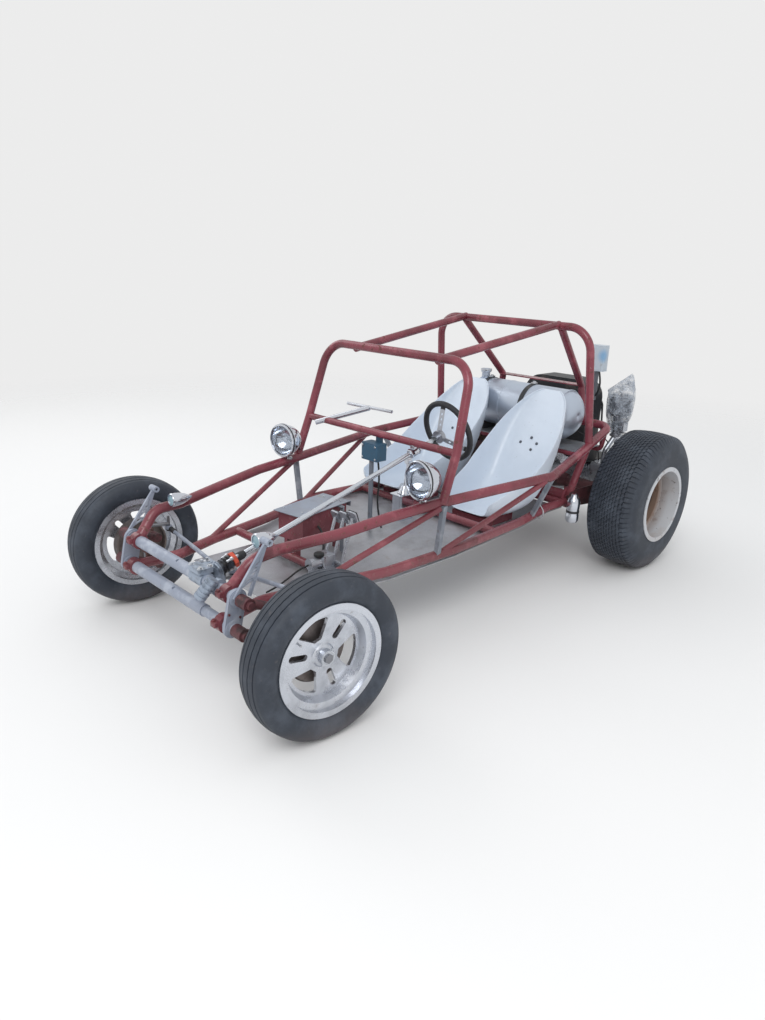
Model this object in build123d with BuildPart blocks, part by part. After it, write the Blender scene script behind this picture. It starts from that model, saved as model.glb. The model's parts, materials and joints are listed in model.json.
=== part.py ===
from build123d import *
import os
from math import cos, radians, sin

# Two-seat tube-frame sand buggy on air-cooled rear-engine running gear.
# Forward is -Y, the driver's (left) side is +X, up is +Z, and the floor is Z = 0.

# Stance
wheelbase = 2317
front_track = 1402
rear_track = 1274
front_tyre_radius = 300
front_tyre_width = 145
rear_tyre_radius = 376
rear_tyre_width = 274
rear_overhang = 620
overall_length = front_tyre_radius + wheelbase + rear_overhang
front_axle_y = front_tyre_radius - overall_length / 2
rear_axle_y = front_axle_y + wheelbase
parked_steer = 5

# Clearances
fit_gap = 0.3
pin_gap = 0.05
running_gap = 6

# Frame tube sizes, as radii
rail_radius = 22
hoop_radius = 20
roof_radius = 19
dash_radius = 17
brace_radius = 13
cross_radius = 19

# Front beam: the lower tube sits further forward than the upper one
beam_top_back = -145
beam_top_z = 438
beam_bottom_back = -168
beam_bottom_z = 330
beam_tube_radius = 20
beam_half = 408

# Floor
pan_thickness = 3

# Hoops and dash
front_hoop_back = 985
front_hoop_z = 1186
rear_hoop_back = 1850
rear_hoop_z = 1297
dash_z = 820
dash_back = 884
dash_half = 485
rear_cross_back = 2200
rear_cross_z = 768


def at(x, behind, z):
    """Point from half width, distance behind the front axle and height."""
    return (x, front_axle_y + behind, z)


def mirrored(points):
    """The same points on the right-hand side."""
    return [(-x, y, z) for x, y, z in points]


def between(start, end, share):
    """Point at a share of the way from start to end."""
    return tuple(a + (b - a) * share for a, b in zip(start, end))


def bent_tube(points, bend, radius):
    """Round tube along straight runs that are joined by bends of one radius."""
    with BuildPart() as tube:
        with BuildLine() as route:
            FilletPolyline(*points, radius=bend)
        with BuildSketch(Plane(origin=route.line @ 0, z_dir=route.line % 0)):
            Circle(radius)
        sweep(path=route.line)
    return tube.part


def straight_tube(start, end, radius):
    """Round bar or tube between two points."""
    run = Vector(*end) - Vector(*start)
    with BuildPart() as tube:
        with BuildSketch(Plane(origin=start, z_dir=run)):
            Circle(radius)
        extrude(amount=run.length)
    return tube.part


def tapered_bar(start, end, start_radius, end_radius):
    """Round bar whose radius changes evenly from start to end."""
    run = Vector(*end) - Vector(*start)
    with BuildPart() as bar:
        with BuildSketch(Plane(origin=start, z_dir=run)):
            Circle(start_radius)
        with BuildSketch(Plane(origin=end, z_dir=run)):
            Circle(end_radius)
        loft(ruled=True)
    return bar.part


def save(builder_part, name):
    """Label a finished piece and write its file."""
    builder_part.label = name
    export_step(builder_part, f"parts/{name}.step")


os.makedirs("parts", exist_ok=True)

# Upper rail: one loop from the left beam clamp round the back to the right one
# columns: half width, distance behind the front axle, height
upper_rail_stations = [
    (334, beam_top_back + 4, beam_top_z + 10),
    (356, -54, 549),
    (349, 60, 555),
    (411, 310, 576),
    (447, 540, 603),
    (477, 790, 617),
    (604, 1455, 648),
    (520, rear_hoop_back, 694),
    (468, rear_cross_back, rear_cross_z),
]
left_rail_points = [at(x, b, z) for x, b, z in upper_rail_stations]
rail_bend = 85
beam_clamp_x = 336
beam_clamp_width = 36
beam_clamp_radius = 34


def beam_clamp(side, behind, z):
    """Ring round a beam tube that a rail is welded to."""
    start = at(side * beam_clamp_x - beam_clamp_width / 2, behind, z)
    end = at(side * beam_clamp_x + beam_clamp_width / 2, behind, z)
    return straight_tube(start, end, beam_clamp_radius)


with BuildPart() as upper_rail:
    add(bent_tube(left_rail_points + mirrored(left_rail_points)[::-1], rail_bend, rail_radius))
    for side in (-1, 1):
        add(beam_clamp(side, beam_top_back, beam_top_z))
    add(straight_tube(at(-beam_half, beam_top_back, beam_top_z), at(beam_half, beam_top_back, beam_top_z),
                      beam_tube_radius + fit_gap), mode=Mode.SUBTRACT)
save(upper_rail.part, "upper_rail")

# Lower rails and their cross tubes
# columns: half width, distance behind the front axle, height
lower_rail_stations = [
    (332, beam_bottom_back + 6, beam_bottom_z + 6),
    (300, 20, 345),
    (350, 215, 352),
    (425, 560, 354),
    (484, 920, 382),
    (474, 1110, 382),
    (450, 1460, 380),
    (403, 1750, 380),
    (403, 1925, 380),
]
left_lower_points = [at(x, b, z) for x, b, z in lower_rail_stations]
lower_bend = 120
# distances behind the front axle
cross_stations = (360, 1240, 1900)


def lower_rail_at(behind):
    """Half width and height of the lower rails at a distance behind the front axle."""
    for (x0, b0, z0), (x1, b1, z1) in zip(lower_rail_stations, lower_rail_stations[1:]):
        if b0 <= behind <= b1:
            share = (behind - b0) / (b1 - b0)
            return x0 + (x1 - x0) * share, z0 + (z1 - z0) * share
    return lower_rail_stations[-1][0], lower_rail_stations[-1][2]


with BuildPart() as lower_frame:
    add(bent_tube(left_lower_points, lower_bend, rail_radius))
    add(bent_tube(mirrored(left_lower_points), lower_bend, rail_radius))
    for side in (-1, 1):
        add(beam_clamp(side, beam_bottom_back, beam_bottom_z))
    for behind in cross_stations:
        half, z = lower_rail_at(behind)
        add(straight_tube(at(-half, behind, z), at(half, behind, z), cross_radius))
    add(straight_tube(at(-beam_half, beam_bottom_back, beam_bottom_z),
                      at(beam_half, beam_bottom_back, beam_bottom_z),
                      beam_tube_radius + fit_gap), mode=Mode.SUBTRACT)
save(lower_frame.part, "lower_frame")

# Floor pan: one sheet with two bends, screwed under the lower rails
pan_front_back = 60
pan_nose_half = 255
pan_low_z = 344 - rail_radius - fit_gap
pan_high_z = 380 - rail_radius - fit_gap
pan_rise_start = 560
pan_rear_back = 1890
pan_rise_end = 940
pan_edge = 10
with BuildPart() as floor_pan:
    with BuildSketch(Plane.YZ):
        top = [(pan_front_back, pan_low_z), (pan_rise_start, pan_low_z), (pan_rise_end, pan_high_z),
               (pan_rear_back, pan_high_z)]
        underside = [(b, z - pan_thickness) for b, z in top][::-1]
        Polygon(*[(front_axle_y + b, z) for b, z in top + underside], align=None)
    extrude(amount=600, both=True)
    with BuildSketch(Plane.XY):
        with BuildLine():
            stations = (380, pan_rise_start, 920, 1110, 1460, 1750, pan_rear_back)
            left_edge = [(pan_nose_half, front_axle_y + pan_front_back), (pan_nose_half, front_axle_y + 380)]
            left_edge += [(lower_rail_at(b)[0] + pan_edge, front_axle_y + b) for b in stations]
            Polyline(*left_edge, *[(-x, y) for x, y in left_edge][::-1], close=True)
        make_face()
    extrude(amount=1000, mode=Mode.INTERSECT)
save(floor_pan.part, "floor_pan")

# Hoops, the front one with the dash tube
# columns: half width, distance behind the front axle, height
front_hoop_stations = [(492, 806, 614), (dash_half + 2, dash_back, dash_z), (456, front_hoop_back, front_hoop_z)]
rear_hoop_stations = [(508, rear_hoop_back + 72, 708), (482, rear_hoop_back, rear_hoop_z)]
hoop_bend = 120
front_hoop_left = [at(x, b, z) for x, b, z in front_hoop_stations]
rear_hoop_left = [at(x, b, z) for x, b, z in rear_hoop_stations]

with BuildPart() as front_hoop:
    add(bent_tube(front_hoop_left + mirrored(front_hoop_left)[::-1], hoop_bend, hoop_radius))
    add(straight_tube(at(-dash_half, dash_back, dash_z), at(dash_half, dash_back, dash_z), dash_radius))
    add(upper_rail.part, mode=Mode.SUBTRACT)
save(front_hoop.part, "front_hoop")

with BuildPart() as rear_hoop:
    add(bent_tube(rear_hoop_left + mirrored(rear_hoop_left)[::-1], hoop_bend, hoop_radius))
    add(upper_rail.part, mode=Mode.SUBTRACT)
save(rear_hoop.part, "rear_hoop")

# Roof tubes
roof_front = at(263, front_hoop_back, front_hoop_z - 12)
roof_rear = at(301, rear_hoop_back, rear_hoop_z + 6)
with BuildPart() as roof_tubes:
    add(straight_tube(roof_front, roof_rear, roof_radius))
    mirror(about=Plane.YZ)
    add(front_hoop.part, mode=Mode.SUBTRACT)
    add(rear_hoop.part, mode=Mode.SUBTRACT)
save(roof_tubes.part, "roof_tubes")

# Rear braces, bent where a flat cross bar with drilled holes joins them
brace_top = at(312, rear_hoop_back + 8, rear_hoop_z - 10)
brace_knee_x = 266
brace_knee_back = 2194
brace_knee_z = 962
brace_foot = at(296, rear_cross_back, rear_cross_z)
flat_bar_depth = 64
flat_bar_thickness = 6
flat_bar_hole_radius = 5
flat_bar_hole_spacing = 62
flat_bar_holes = 7
with BuildPart() as rear_braces:
    add(bent_tube([brace_top, at(brace_knee_x, brace_knee_back, brace_knee_z), brace_foot], 30, roof_radius))
    mirror(about=Plane.YZ)
    with BuildSketch(Plane.XY.offset(brace_knee_z)):
        with Locations((0, front_axle_y + brace_knee_back)):
            Rectangle(2 * brace_knee_x, flat_bar_depth)
            with GridLocations(flat_bar_hole_spacing, 1, flat_bar_holes, 1):
                Circle(flat_bar_hole_radius, mode=Mode.SUBTRACT)
    extrude(amount=flat_bar_thickness)
    add(rear_hoop.part, mode=Mode.SUBTRACT)
    add(upper_rail.part, mode=Mode.SUBTRACT)
    add(roof_tubes.part, mode=Mode.SUBTRACT)
save(rear_braces.part, "rear_braces")

# Thin diagonals between the lower and upper rails
# columns: lower end, upper end, each as half width, distance behind, height
diagonal_ends = [
    ((350, 205, 358), (496, 792, 600)),
    ((474, 850, 388), (606, 1398, 634)),
]
with BuildPart() as side_diagonals:
    for low, high in diagonal_ends:
        add(straight_tube(at(*low), at(*high), brace_radius))
    mirror(about=Plane.YZ)
    add(upper_rail.part, mode=Mode.SUBTRACT)
    add(lower_frame.part, mode=Mode.SUBTRACT)
    add(front_hoop.part, mode=Mode.SUBTRACT)
save(side_diagonals.part, "side_diagonals")

# Grey square uprights, one under each hoop base and one beside each seat back
# columns: lower end, upper end, width
upright_ends = [
    ((474, 814, 380), (503, 806, 612), 22),
    ((442, 1562, 384), (588, 1502, 650), 20),
]
with BuildPart() as side_uprights:
    for low, high, width in upright_ends:
        run = Vector(*at(*high)) - Vector(*at(*low))
        with BuildSketch(Plane(origin=at(*low), z_dir=run)):
            Rectangle(width, width)
        extrude(amount=run.length)
    mirror(about=Plane.YZ)
    add(upper_rail.part, mode=Mode.SUBTRACT)
    add(lower_frame.part, mode=Mode.SUBTRACT)
    add(front_hoop.part, mode=Mode.SUBTRACT)
    add(side_diagonals.part, mode=Mode.SUBTRACT)
save(side_uprights.part, "side_uprights")

# Front beam: two torsion tubes with thicker middles, and the end plates
sleeve_radius = 24
sleeve_right = 318
sleeve_left = 211
collar_radius = 31
collar_x = 373
end_plate_x = 388
end_plate_thickness = 14
end_plate_radius = 36
sleeve_hole_radius = 7
# columns: distance behind the front axle, height
beam_tubes = [(beam_top_back, beam_top_z), (beam_bottom_back, beam_bottom_z)]
with BuildPart() as front_beam:
    for back, z in beam_tubes:
        add(straight_tube(at(-beam_half, back, z), at(beam_half, back, z), beam_tube_radius))
        add(straight_tube(at(-sleeve_right, back, z), at(sleeve_left, back, z), sleeve_radius))
        for side in (-1, 1):
            add(straight_tube(at(side * collar_x, back, z), at(side * (collar_x + 12), back, z), collar_radius))
    for side in (-1, 1):
        with BuildSketch(Plane.YZ.offset(side * end_plate_x - end_plate_thickness / 2)):
            with Locations(*[(front_axle_y + back, z) for back, z in beam_tubes]):
                Circle(end_plate_radius)
            make_hull()
        extrude(amount=end_plate_thickness)
    for back, z in beam_tubes:
        add(straight_tube(at(0, back - 8, z + 16), at(0, back - 18, z + 36), sleeve_hole_radius), mode=Mode.SUBTRACT)
    add(upper_rail.part, mode=Mode.SUBTRACT)
    add(lower_frame.part, mode=Mode.SUBTRACT)
save(front_beam.part, "front_beam")

# Shock towers: a lattice of flat bars on each end plate, with an empty shock eye on top
tower_x = 403
tower_eye_back = -27
tower_eye_z = 626
tower_thickness = 10
tower_leg_width = 11
tower_web_width = 5
shock_eye_radius = 6.1
shock_eye_boss_radius = 13
shock_eye_length = 46
tower_front_foot = (front_axle_y + beam_top_back - 22, beam_top_z + 6)
tower_rear_foot = (front_axle_y + beam_top_back + 42, beam_top_z + 2)
tower_eye = (front_axle_y + tower_eye_back, tower_eye_z)
# shares along the front and the rear leg that each web bar joins
tower_webs = [(0.2, 0.36), (0.36, 0.36), (0.36, 0.56), (0.56, 0.56), (0.56, 0.74), (0.74, 0.74)]


def flat_bar(start, end, width):
    """Outline of a straight bar between two points of a sketch."""
    run = (Vector(*end) - Vector(*start)).normalized()
    offset_y, offset_z = -run.Y * width / 2, run.X * width / 2
    (ya, za), (yb, zb) = start, end
    return [(ya + offset_y, za + offset_z), (yb + offset_y, zb + offset_z),
            (yb - offset_y, zb - offset_z), (ya - offset_y, za - offset_z)]


with BuildPart() as shock_towers:
    for side in (-1, 1):
        with BuildSketch(Plane.YZ.offset(side * tower_x - tower_thickness / 2)):
            Polygon(*flat_bar(tower_front_foot, tower_eye, tower_leg_width), align=None)
            Polygon(*flat_bar(tower_rear_foot, tower_eye, tower_leg_width), align=None)
            for low, high in tower_webs:
                Polygon(*flat_bar(between(tower_front_foot, tower_eye, low),
                                  between(tower_rear_foot, tower_eye, high), tower_web_width), align=None)
        extrude(amount=tower_thickness)
        eye_plane = Plane.YZ.offset(side * tower_x - shock_eye_length / 2)
        with BuildSketch(eye_plane):
            with Locations(tower_eye):
                Circle(shock_eye_boss_radius)
        extrude(amount=shock_eye_length)
        with BuildSketch(eye_plane):
            with Locations(tower_eye):
                Circle(shock_eye_radius)
        extrude(amount=shock_eye_length, mode=Mode.SUBTRACT)
    add(front_beam.part, mode=Mode.SUBTRACT)
save(shock_towers.part, "shock_towers")

# Trailing arms: an eye on each beam tube, a tapered blade and a boss for the king pin carrier
arm_x = beam_half + 30
arm_eye_radius = 24
arm_eye_half = 28
arm_end_back = -6
kingpin_x = 555
arm_shift = 22
# columns: distance behind of the beam tube, its height, height of the arm's end
arm_table = [(beam_top_back, beam_top_z, 384), (beam_bottom_back, beam_bottom_z, 262)]
with BuildPart() as trailing_arms:
    for side in (-1, 1):
        for tube_back, tube_z, end_z in arm_table:
            eye_in = at(side * (arm_x - arm_eye_half), tube_back, tube_z)
            eye_out = at(side * (arm_x + arm_eye_half), tube_back, tube_z)
            add(straight_tube(eye_in, eye_out, arm_eye_radius))
            add(straight_tube(eye_out, at(side * (arm_x + arm_eye_half + 14), tube_back, tube_z), 15))
            add(tapered_bar(at(side * (arm_x + 4), tube_back, tube_z),
                            at(side * (arm_x + arm_shift), arm_end_back, end_z), 19, 14))
            add(straight_tube(at(side * (arm_x + arm_shift - 20), arm_end_back, end_z),
                              at(side * (arm_x + arm_shift + 24), arm_end_back, end_z), 20))
    add(front_beam.part, mode=Mode.SUBTRACT)
    add(shock_towers.part, mode=Mode.SUBTRACT)
save(trailing_arms.part, "trailing_arms")

# King pin carriers: the fixed links between the two arms of each side
kingpin_radius = 11
kingpin_bottom = 236
kingpin_top = 412
carrier_bottom = 262
carrier_top = 384
carrier_inner = arm_x + arm_shift + 24
with BuildPart() as kingpin_carriers:
    for side in (-1, 1):
        with BuildSketch(Plane.XY.offset(carrier_bottom + 22)):
            with Locations((side * (kingpin_x - 6), front_axle_y)):
                Rectangle(44, 40)
        extrude(amount=carrier_top - carrier_bottom - 44)
        for height in (carrier_bottom, carrier_top):
            add(straight_tube(at(side * carrier_inner, arm_end_back, height),
                              at(side * (kingpin_x - 14), arm_end_back, height), 13))
        with BuildSketch(Plane.XY.offset(carrier_bottom - 14)):
            with Locations((side * (kingpin_x - 20), front_axle_y)):
                Rectangle(14, 40)
        extrude(amount=carrier_top - carrier_bottom + 28)
        with BuildSketch(Plane.XY.offset(kingpin_bottom)):
            with Locations((side * kingpin_x, front_axle_y)):
                Circle(kingpin_radius)
        extrude(amount=kingpin_top - kingpin_bottom)
save(kingpin_carriers.part, "kingpin_carriers")

# Wheel planes: origin at the wheel's centre, Z outward along its axle
front_wheel_z = front_tyre_radius
rear_wheel_z = rear_tyre_radius
kingpin_to_wheel = front_track / 2 - kingpin_x


def turned(side, dx, dy):
    """Offset from a king pin, turned with the parked steering; dx is outward."""
    a = radians(-parked_steer)
    x = side * dx
    return (x * cos(a) - dy * sin(a), x * sin(a) + dy * cos(a))


def knuckle_point(side, dx, dy, z):
    """Point of a steered piece, by its offset from the king pin."""
    x, y = turned(side, dx, dy)
    return (side * kingpin_x + x, front_axle_y + y, z)


def front_axle(side):
    """Plane at a front wheel's centre with Z along its axle, outward."""
    outward = turned(side, 1, 0)
    return Plane(origin=knuckle_point(side, kingpin_to_wheel, 0, front_wheel_z),
                 x_dir=(0, 0, 1), z_dir=(*outward, 0))


def rear_axle(side):
    """Plane at a rear wheel's centre with Z along its axle, outward."""
    return Plane(origin=(side * rear_track / 2, rear_axle_y, rear_wheel_z),
                 x_dir=(0, 0, 1), z_dir=(side, 0, 0))


def profile_plane(axle):
    """Plane through an axle: X is the radius, Y runs outward along the axle."""
    return Plane(origin=axle.origin, x_dir=axle.x_dir, z_dir=axle.x_dir.cross(axle.z_dir))


# Wheel sizes
rim_flange_radius = 208
rim_bead_radius = 190
rim_sheet = 5
rim_well_radius = 168
front_rim_half = 57
rear_rim_half = 139
stub_radius = 12
hub_bore_radius = stub_radius + pin_gap
front_disc_face = 0
spoke_thickness = 14
hub_boss_radius = 28
hub_boss_height = 30
hub_root_radius = 44
front_drum_radius = 118
front_drum_depth = 46
rear_disc_face = -34
rear_disc_thickness = 6
rear_drum_radius = 124
rear_drum_depth = 60
groove_depth = 9
groove_width = 8
front_grooves = (-14, 14)
rear_grooves = (-46, -15, 15, 46)


def tyre(axle, radius, width, rim_half, grooves):
    """Tyre as one solid ring between the rim's flanges, with round sidewalls and grooves round its tread."""
    crown_half = width * 0.37
    shoulder_radius = radius - 9
    bulge_radius = (radius + rim_flange_radius) / 2
    bead = rim_half - rim_sheet
    bead_radius = rim_bead_radius + fit_gap
    lip_radius = rim_flange_radius + 3
    with BuildPart() as ring:
        with BuildSketch(profile_plane(axle)):
            with BuildLine():
                Line((bead_radius, -bead), (bead_radius, bead))
                Line((bead_radius, bead), (lip_radius, bead))
                ThreePointArc((lip_radius, bead), (bulge_radius, width / 2), (shoulder_radius, crown_half))
                ThreePointArc((shoulder_radius, crown_half), (radius, 0), (shoulder_radius, -crown_half))
                ThreePointArc((shoulder_radius, -crown_half), (bulge_radius, -width / 2), (lip_radius, -bead))
                Line((lip_radius, -bead), (bead_radius, -bead))
            make_face()
            with Locations(*[(radius, groove) for groove in grooves]):
                Rectangle(2 * groove_depth, groove_width, mode=Mode.SUBTRACT)
        revolve(axis=Axis(axle.origin, axle.z_dir))
    return ring.part


def rim_shell(axle, half, well_shift):
    """Rim barrel with its two flanges and its drop centre."""
    outer = [
        (rim_flange_radius, half), (rim_flange_radius, half - rim_sheet), (rim_bead_radius, half - rim_sheet),
        (rim_bead_radius, well_shift + 24), (rim_well_radius, well_shift + 14),
        (rim_well_radius, well_shift - 14), (rim_bead_radius, well_shift - 24),
        (rim_bead_radius, rim_sheet - half), (rim_flange_radius, rim_sheet - half), (rim_flange_radius, -half),
    ]
    inner = [
        (rim_bead_radius - rim_sheet, -half), (rim_bead_radius - rim_sheet, well_shift - 26),
        (rim_well_radius - rim_sheet, well_shift - 16), (rim_well_radius - rim_sheet, well_shift + 16),
        (rim_bead_radius - rim_sheet, well_shift + 26), (rim_bead_radius - rim_sheet, half),
    ]
    with BuildPart() as shell:
        with BuildSketch(profile_plane(axle)):
            Polygon(*outer, *inner, align=None)
        revolve(axis=Axis(axle.origin, axle.z_dir))
    return shell.part


# Cast front wheel: three windows between wide spokes, each spoke with a slot
window_outer = 139
cone_inner = 150
cone_outer = 163
cone_height = 30
window_inner = 62
window_outer_angle = 29
window_inner_angle = 12
window_start = 20
slot_start = -40
slot_length = 74
slot_width = 24
slot_radius = 102
spoke_count = 3

with BuildSketch() as rim_window:
    with BuildLine():
        outer_arc = CenterArc((0, 0), window_outer, -window_outer_angle, 2 * window_outer_angle)
        inner_arc = CenterArc((0, 0), window_inner, -window_inner_angle, 2 * window_inner_angle)
        Line(outer_arc @ 0, inner_arc @ 0)
        Line(outer_arc @ 1, inner_arc @ 1)
    make_face()
    fillet(rim_window.vertices(), 9)


def front_rim(axle):
    """Cast rim: barrel, spoked disc and raised hub."""
    with BuildPart() as rim:
        add(rim_shell(axle, front_rim_half, -12))
        with BuildSketch(axle.offset(front_disc_face - spoke_thickness)):
            Circle(rim_well_radius - 2)
            with PolarLocations(0, spoke_count, start_angle=window_start):
                add(rim_window.sketch, mode=Mode.SUBTRACT)
            with PolarLocations(slot_radius, spoke_count, start_angle=slot_start):
                SlotOverall(slot_length, slot_width, mode=Mode.SUBTRACT)
        extrude(amount=spoke_thickness)
        with BuildSketch(profile_plane(axle)):
            face = front_disc_face
            Polygon((cone_inner, face - 1), (cone_outer, face + cone_height), (187, face + cone_height + 6),
                    (187, 13), (166, 3), (166, face - 1), align=None)
        revolve(axis=Axis(axle.origin, axle.z_dir))
        with BuildSketch(profile_plane(axle)):
            Polygon((0, face - 34), (hub_root_radius, face - 34), (hub_root_radius, face),
                    (hub_root_radius - 6, face + 5), (hub_boss_radius, face + 7),
                    (hub_boss_radius, face + hub_boss_height), (0, face + hub_boss_height), align=None)
        revolve(axis=Axis(axle.origin, axle.z_dir))
        with BuildSketch(axle.offset(-60)):
            Circle(hub_bore_radius)
        extrude(amount=120, mode=Mode.SUBTRACT)
    return rim.part


def rear_rim(axle):
    """Steel rim with a deep dish and a pressed centre."""
    face = rear_disc_face
    back = face - rear_disc_thickness
    with BuildPart() as rim:
        add(rim_shell(axle, rear_rim_half, face + 46))
        with BuildSketch(profile_plane(axle)):
            Polygon((hub_bore_radius, face), (60, face), (84, face + 18), (122, face + 18), (164, face - 6),
                    (187, face - 6), (187, back - 6), (162, back - 6), (120, face + 12), (86, face + 12),
                    (62, back), (hub_bore_radius, back), align=None)
        revolve(axis=Axis(axle.origin, axle.z_dir))
    return rim.part


def drum(axle, radius, depth, face):
    """Brake drum, its closed face at a distance along the axle and its rim open inward."""
    wall = 8
    with BuildPart() as body:
        with BuildSketch(profile_plane(axle)):
            Polygon((hub_bore_radius, face), (radius - 6, face), (radius, face - 6), (radius, face - depth),
                    (radius - wall, face - depth), (radius - wall, face - 12), (36, face - 12),
                    (36, face - depth), (hub_bore_radius, face - depth), align=None)
        revolve(axis=Axis(axle.origin, axle.z_dir))
    return body.part


sides = (("left", 1), ("right", -1))
front_drum_face = front_disc_face - 34
rear_drum_face = rear_disc_face - rear_disc_thickness
for word, side in sides:
    front = front_axle(side)
    rear = rear_axle(side)
    save(tyre(front, front_tyre_radius, front_tyre_width, front_rim_half, front_grooves), f"front_tyre_{word}")
    save(tyre(rear, rear_tyre_radius, rear_tyre_width, rear_rim_half, rear_grooves), f"rear_tyre_{word}")
    save(front_rim(front), f"front_rim_{word}")
    save(rear_rim(rear), f"rear_rim_{word}")
    save(drum(front, front_drum_radius, front_drum_depth, front_drum_face), f"front_drum_{word}")
    save(drum(rear, rear_drum_radius, rear_drum_depth, rear_drum_face), f"rear_drum_{word}")

# Knuckles: forked round the carrier on the king pin, with the stub axle, its nut and the steering arm
steer_arm_length = 105
steer_arm_z = 398
rod_eye_radius = 16
rod_pin_radius = 6
fork_radius = 22
fork_web_x = 34
hub_nut_radius = 17
hub_nut_height = 7
stub_end = front_disc_face + hub_boss_height + fit_gap
for word, side in sides:
    axle = front_axle(side)
    pin = (side * kingpin_x, front_axle_y)
    with BuildPart() as knuckle:
        for low, high in ((kingpin_bottom + 2, carrier_bottom - 16), (carrier_top + 16, kingpin_top - 2)):
            with BuildSketch(Plane.XY.offset(low)):
                with Locations(pin):
                    Circle(fork_radius)
                    Circle(kingpin_radius + pin_gap, mode=Mode.SUBTRACT)
            extrude(amount=high - low)
            add(straight_tube(knuckle_point(side, 14, 0, (low + high) / 2),
                              knuckle_point(side, fork_web_x + 6, 0, (low + high) / 2), 6))
        add(straight_tube(knuckle_point(side, fork_web_x, 0, kingpin_bottom + 8),
                          knuckle_point(side, fork_web_x, 0, kingpin_top - 6), 10))
        add(straight_tube(knuckle_point(side, fork_web_x, 0, front_wheel_z),
                          knuckle_point(side, kingpin_to_wheel + stub_end, 0, front_wheel_z), stub_radius))
        with BuildSketch(axle.offset(stub_end)):
            RegularPolygon(hub_nut_radius, 6)
        extrude(amount=hub_nut_height)
        arm_end = knuckle_point(side, 0, steer_arm_length, steer_arm_z)
        add(straight_tube(knuckle_point(side, 22, 8, steer_arm_z), arm_end, 8))
        add(straight_tube(knuckle_point(side, 0, steer_arm_length, steer_arm_z - 36),
                          knuckle_point(side, 0, steer_arm_length, steer_arm_z + 36), rod_pin_radius))
    save(knuckle.part, f"knuckle_{word}")

# Steering: a box clamped on the upper beam tube, a drop arm and two tie rods
drop_arm_x = 120
drop_arm_back = -98
drop_arm_z = 398
drop_arm_length = steer_arm_length
sector_radius = 10
rod_radius = 9
rod_lift = 18
rod_eye_height = 16
rod_inset = 12
open_pin_gap = 1


def drop_arm_point(dx, dy, z):
    """Point of the drop arm, by its offset from the sector shaft."""
    a = radians(-parked_steer)
    return (drop_arm_x + dx * cos(a) - dy * sin(a),
            front_axle_y + drop_arm_back + dx * sin(a) + dy * cos(a), z)


coupler = at(190, -20, 490)
hub = at(257, 1038, 832)
column_run = (Vector(*hub) - Vector(*coupler)).normalized()
column_length = (Vector(*hub) - Vector(*coupler)).length
column_plane = Plane(origin=coupler, x_dir=Vector(0, 0, 1).cross(column_run), z_dir=column_run)
coupler_radius = 32
coupler_depth = 16
shaft_radius = 11
box_nose_gap = 2
worm_radius = 25
worm_ridges = 4
boot_x = 268
boot_radius = 24
boot_clamp_radius = 32
boot_ridges = 5
boot_top = at(284, -172, 483)
boot_foot = at(258, -219, 412)

with BuildPart() as steering_box:
    nose = column_plane.offset(-coupler_depth - box_nose_gap)
    with BuildSketch(nose):
        Circle(worm_radius)
    extrude(amount=-62)
    for k in range(worm_ridges):
        with BuildSketch(nose.offset(-8 - 14 * k)):
            Circle(worm_radius + 4)
        extrude(amount=-5)
    with BuildSketch(Plane.XY.offset(drop_arm_z + 16)):
        with Locations((drop_arm_x, front_axle_y + drop_arm_back)):
            Circle(26)
        with Locations((drop_arm_x + 62, front_axle_y + drop_arm_back + 12)):
            Circle(24)
        make_hull()
    extrude(amount=62)
    add(straight_tube(at(112, beam_top_back, beam_top_z), at(196, beam_top_back, beam_top_z), sleeve_radius + 6))
    with BuildSketch(Plane.XY.offset(beam_top_z + sleeve_radius + 4)):
        with Locations((154, front_axle_y + beam_top_back)):
            RectangleRounded(84, 62, 8)
    extrude(amount=20)
    add(straight_tube(at(-sleeve_right, beam_top_back, beam_top_z), at(sleeve_left, beam_top_back, beam_top_z),
                      sleeve_radius + fit_gap), mode=Mode.SUBTRACT)
    with BuildSketch(Plane.XY.offset(drop_arm_z - 12)):
        with Locations((drop_arm_x, front_axle_y + drop_arm_back)):
            Circle(sector_radius)
    extrude(amount=40)
    with BuildSketch(nose):
        Circle(shaft_radius + pin_gap)
    extrude(amount=-30, mode=Mode.SUBTRACT)
    add(straight_tube(at(boot_x - 12, beam_top_back, beam_top_z), at(boot_x + 12, beam_top_back, beam_top_z),
                      boot_clamp_radius))
    add(straight_tube(boot_top, boot_foot, boot_radius - 3))
    for k in range(boot_ridges):
        ridge = (k + 0.5) / boot_ridges
        add(straight_tube(between(boot_top, boot_foot, ridge - 0.06), between(boot_top, boot_foot, ridge + 0.06),
                          boot_radius))
    add(straight_tube(at(boot_x - 12, beam_top_back, beam_top_z), at(boot_x + 12, beam_top_back, beam_top_z),
                      beam_tube_radius + fit_gap), mode=Mode.SUBTRACT)
save(steering_box.part, "steering_box")

with BuildPart() as drop_arm:
    with BuildSketch(Plane.XY.offset(drop_arm_z - 6)):
        with Locations((drop_arm_x, front_axle_y + drop_arm_back)):
            Circle(20)
        with Locations(drop_arm_point(0, drop_arm_length, 0)[:2]):
            Circle(16)
        make_hull()
        with Locations((drop_arm_x, front_axle_y + drop_arm_back)):
            Circle(sector_radius + pin_gap, mode=Mode.SUBTRACT)
    extrude(amount=12)
    add(straight_tube(drop_arm_point(0, drop_arm_length, drop_arm_z - 40),
                      drop_arm_point(0, drop_arm_length, drop_arm_z + 44), rod_pin_radius))
save(drop_arm.part, "drop_arm")

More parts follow.
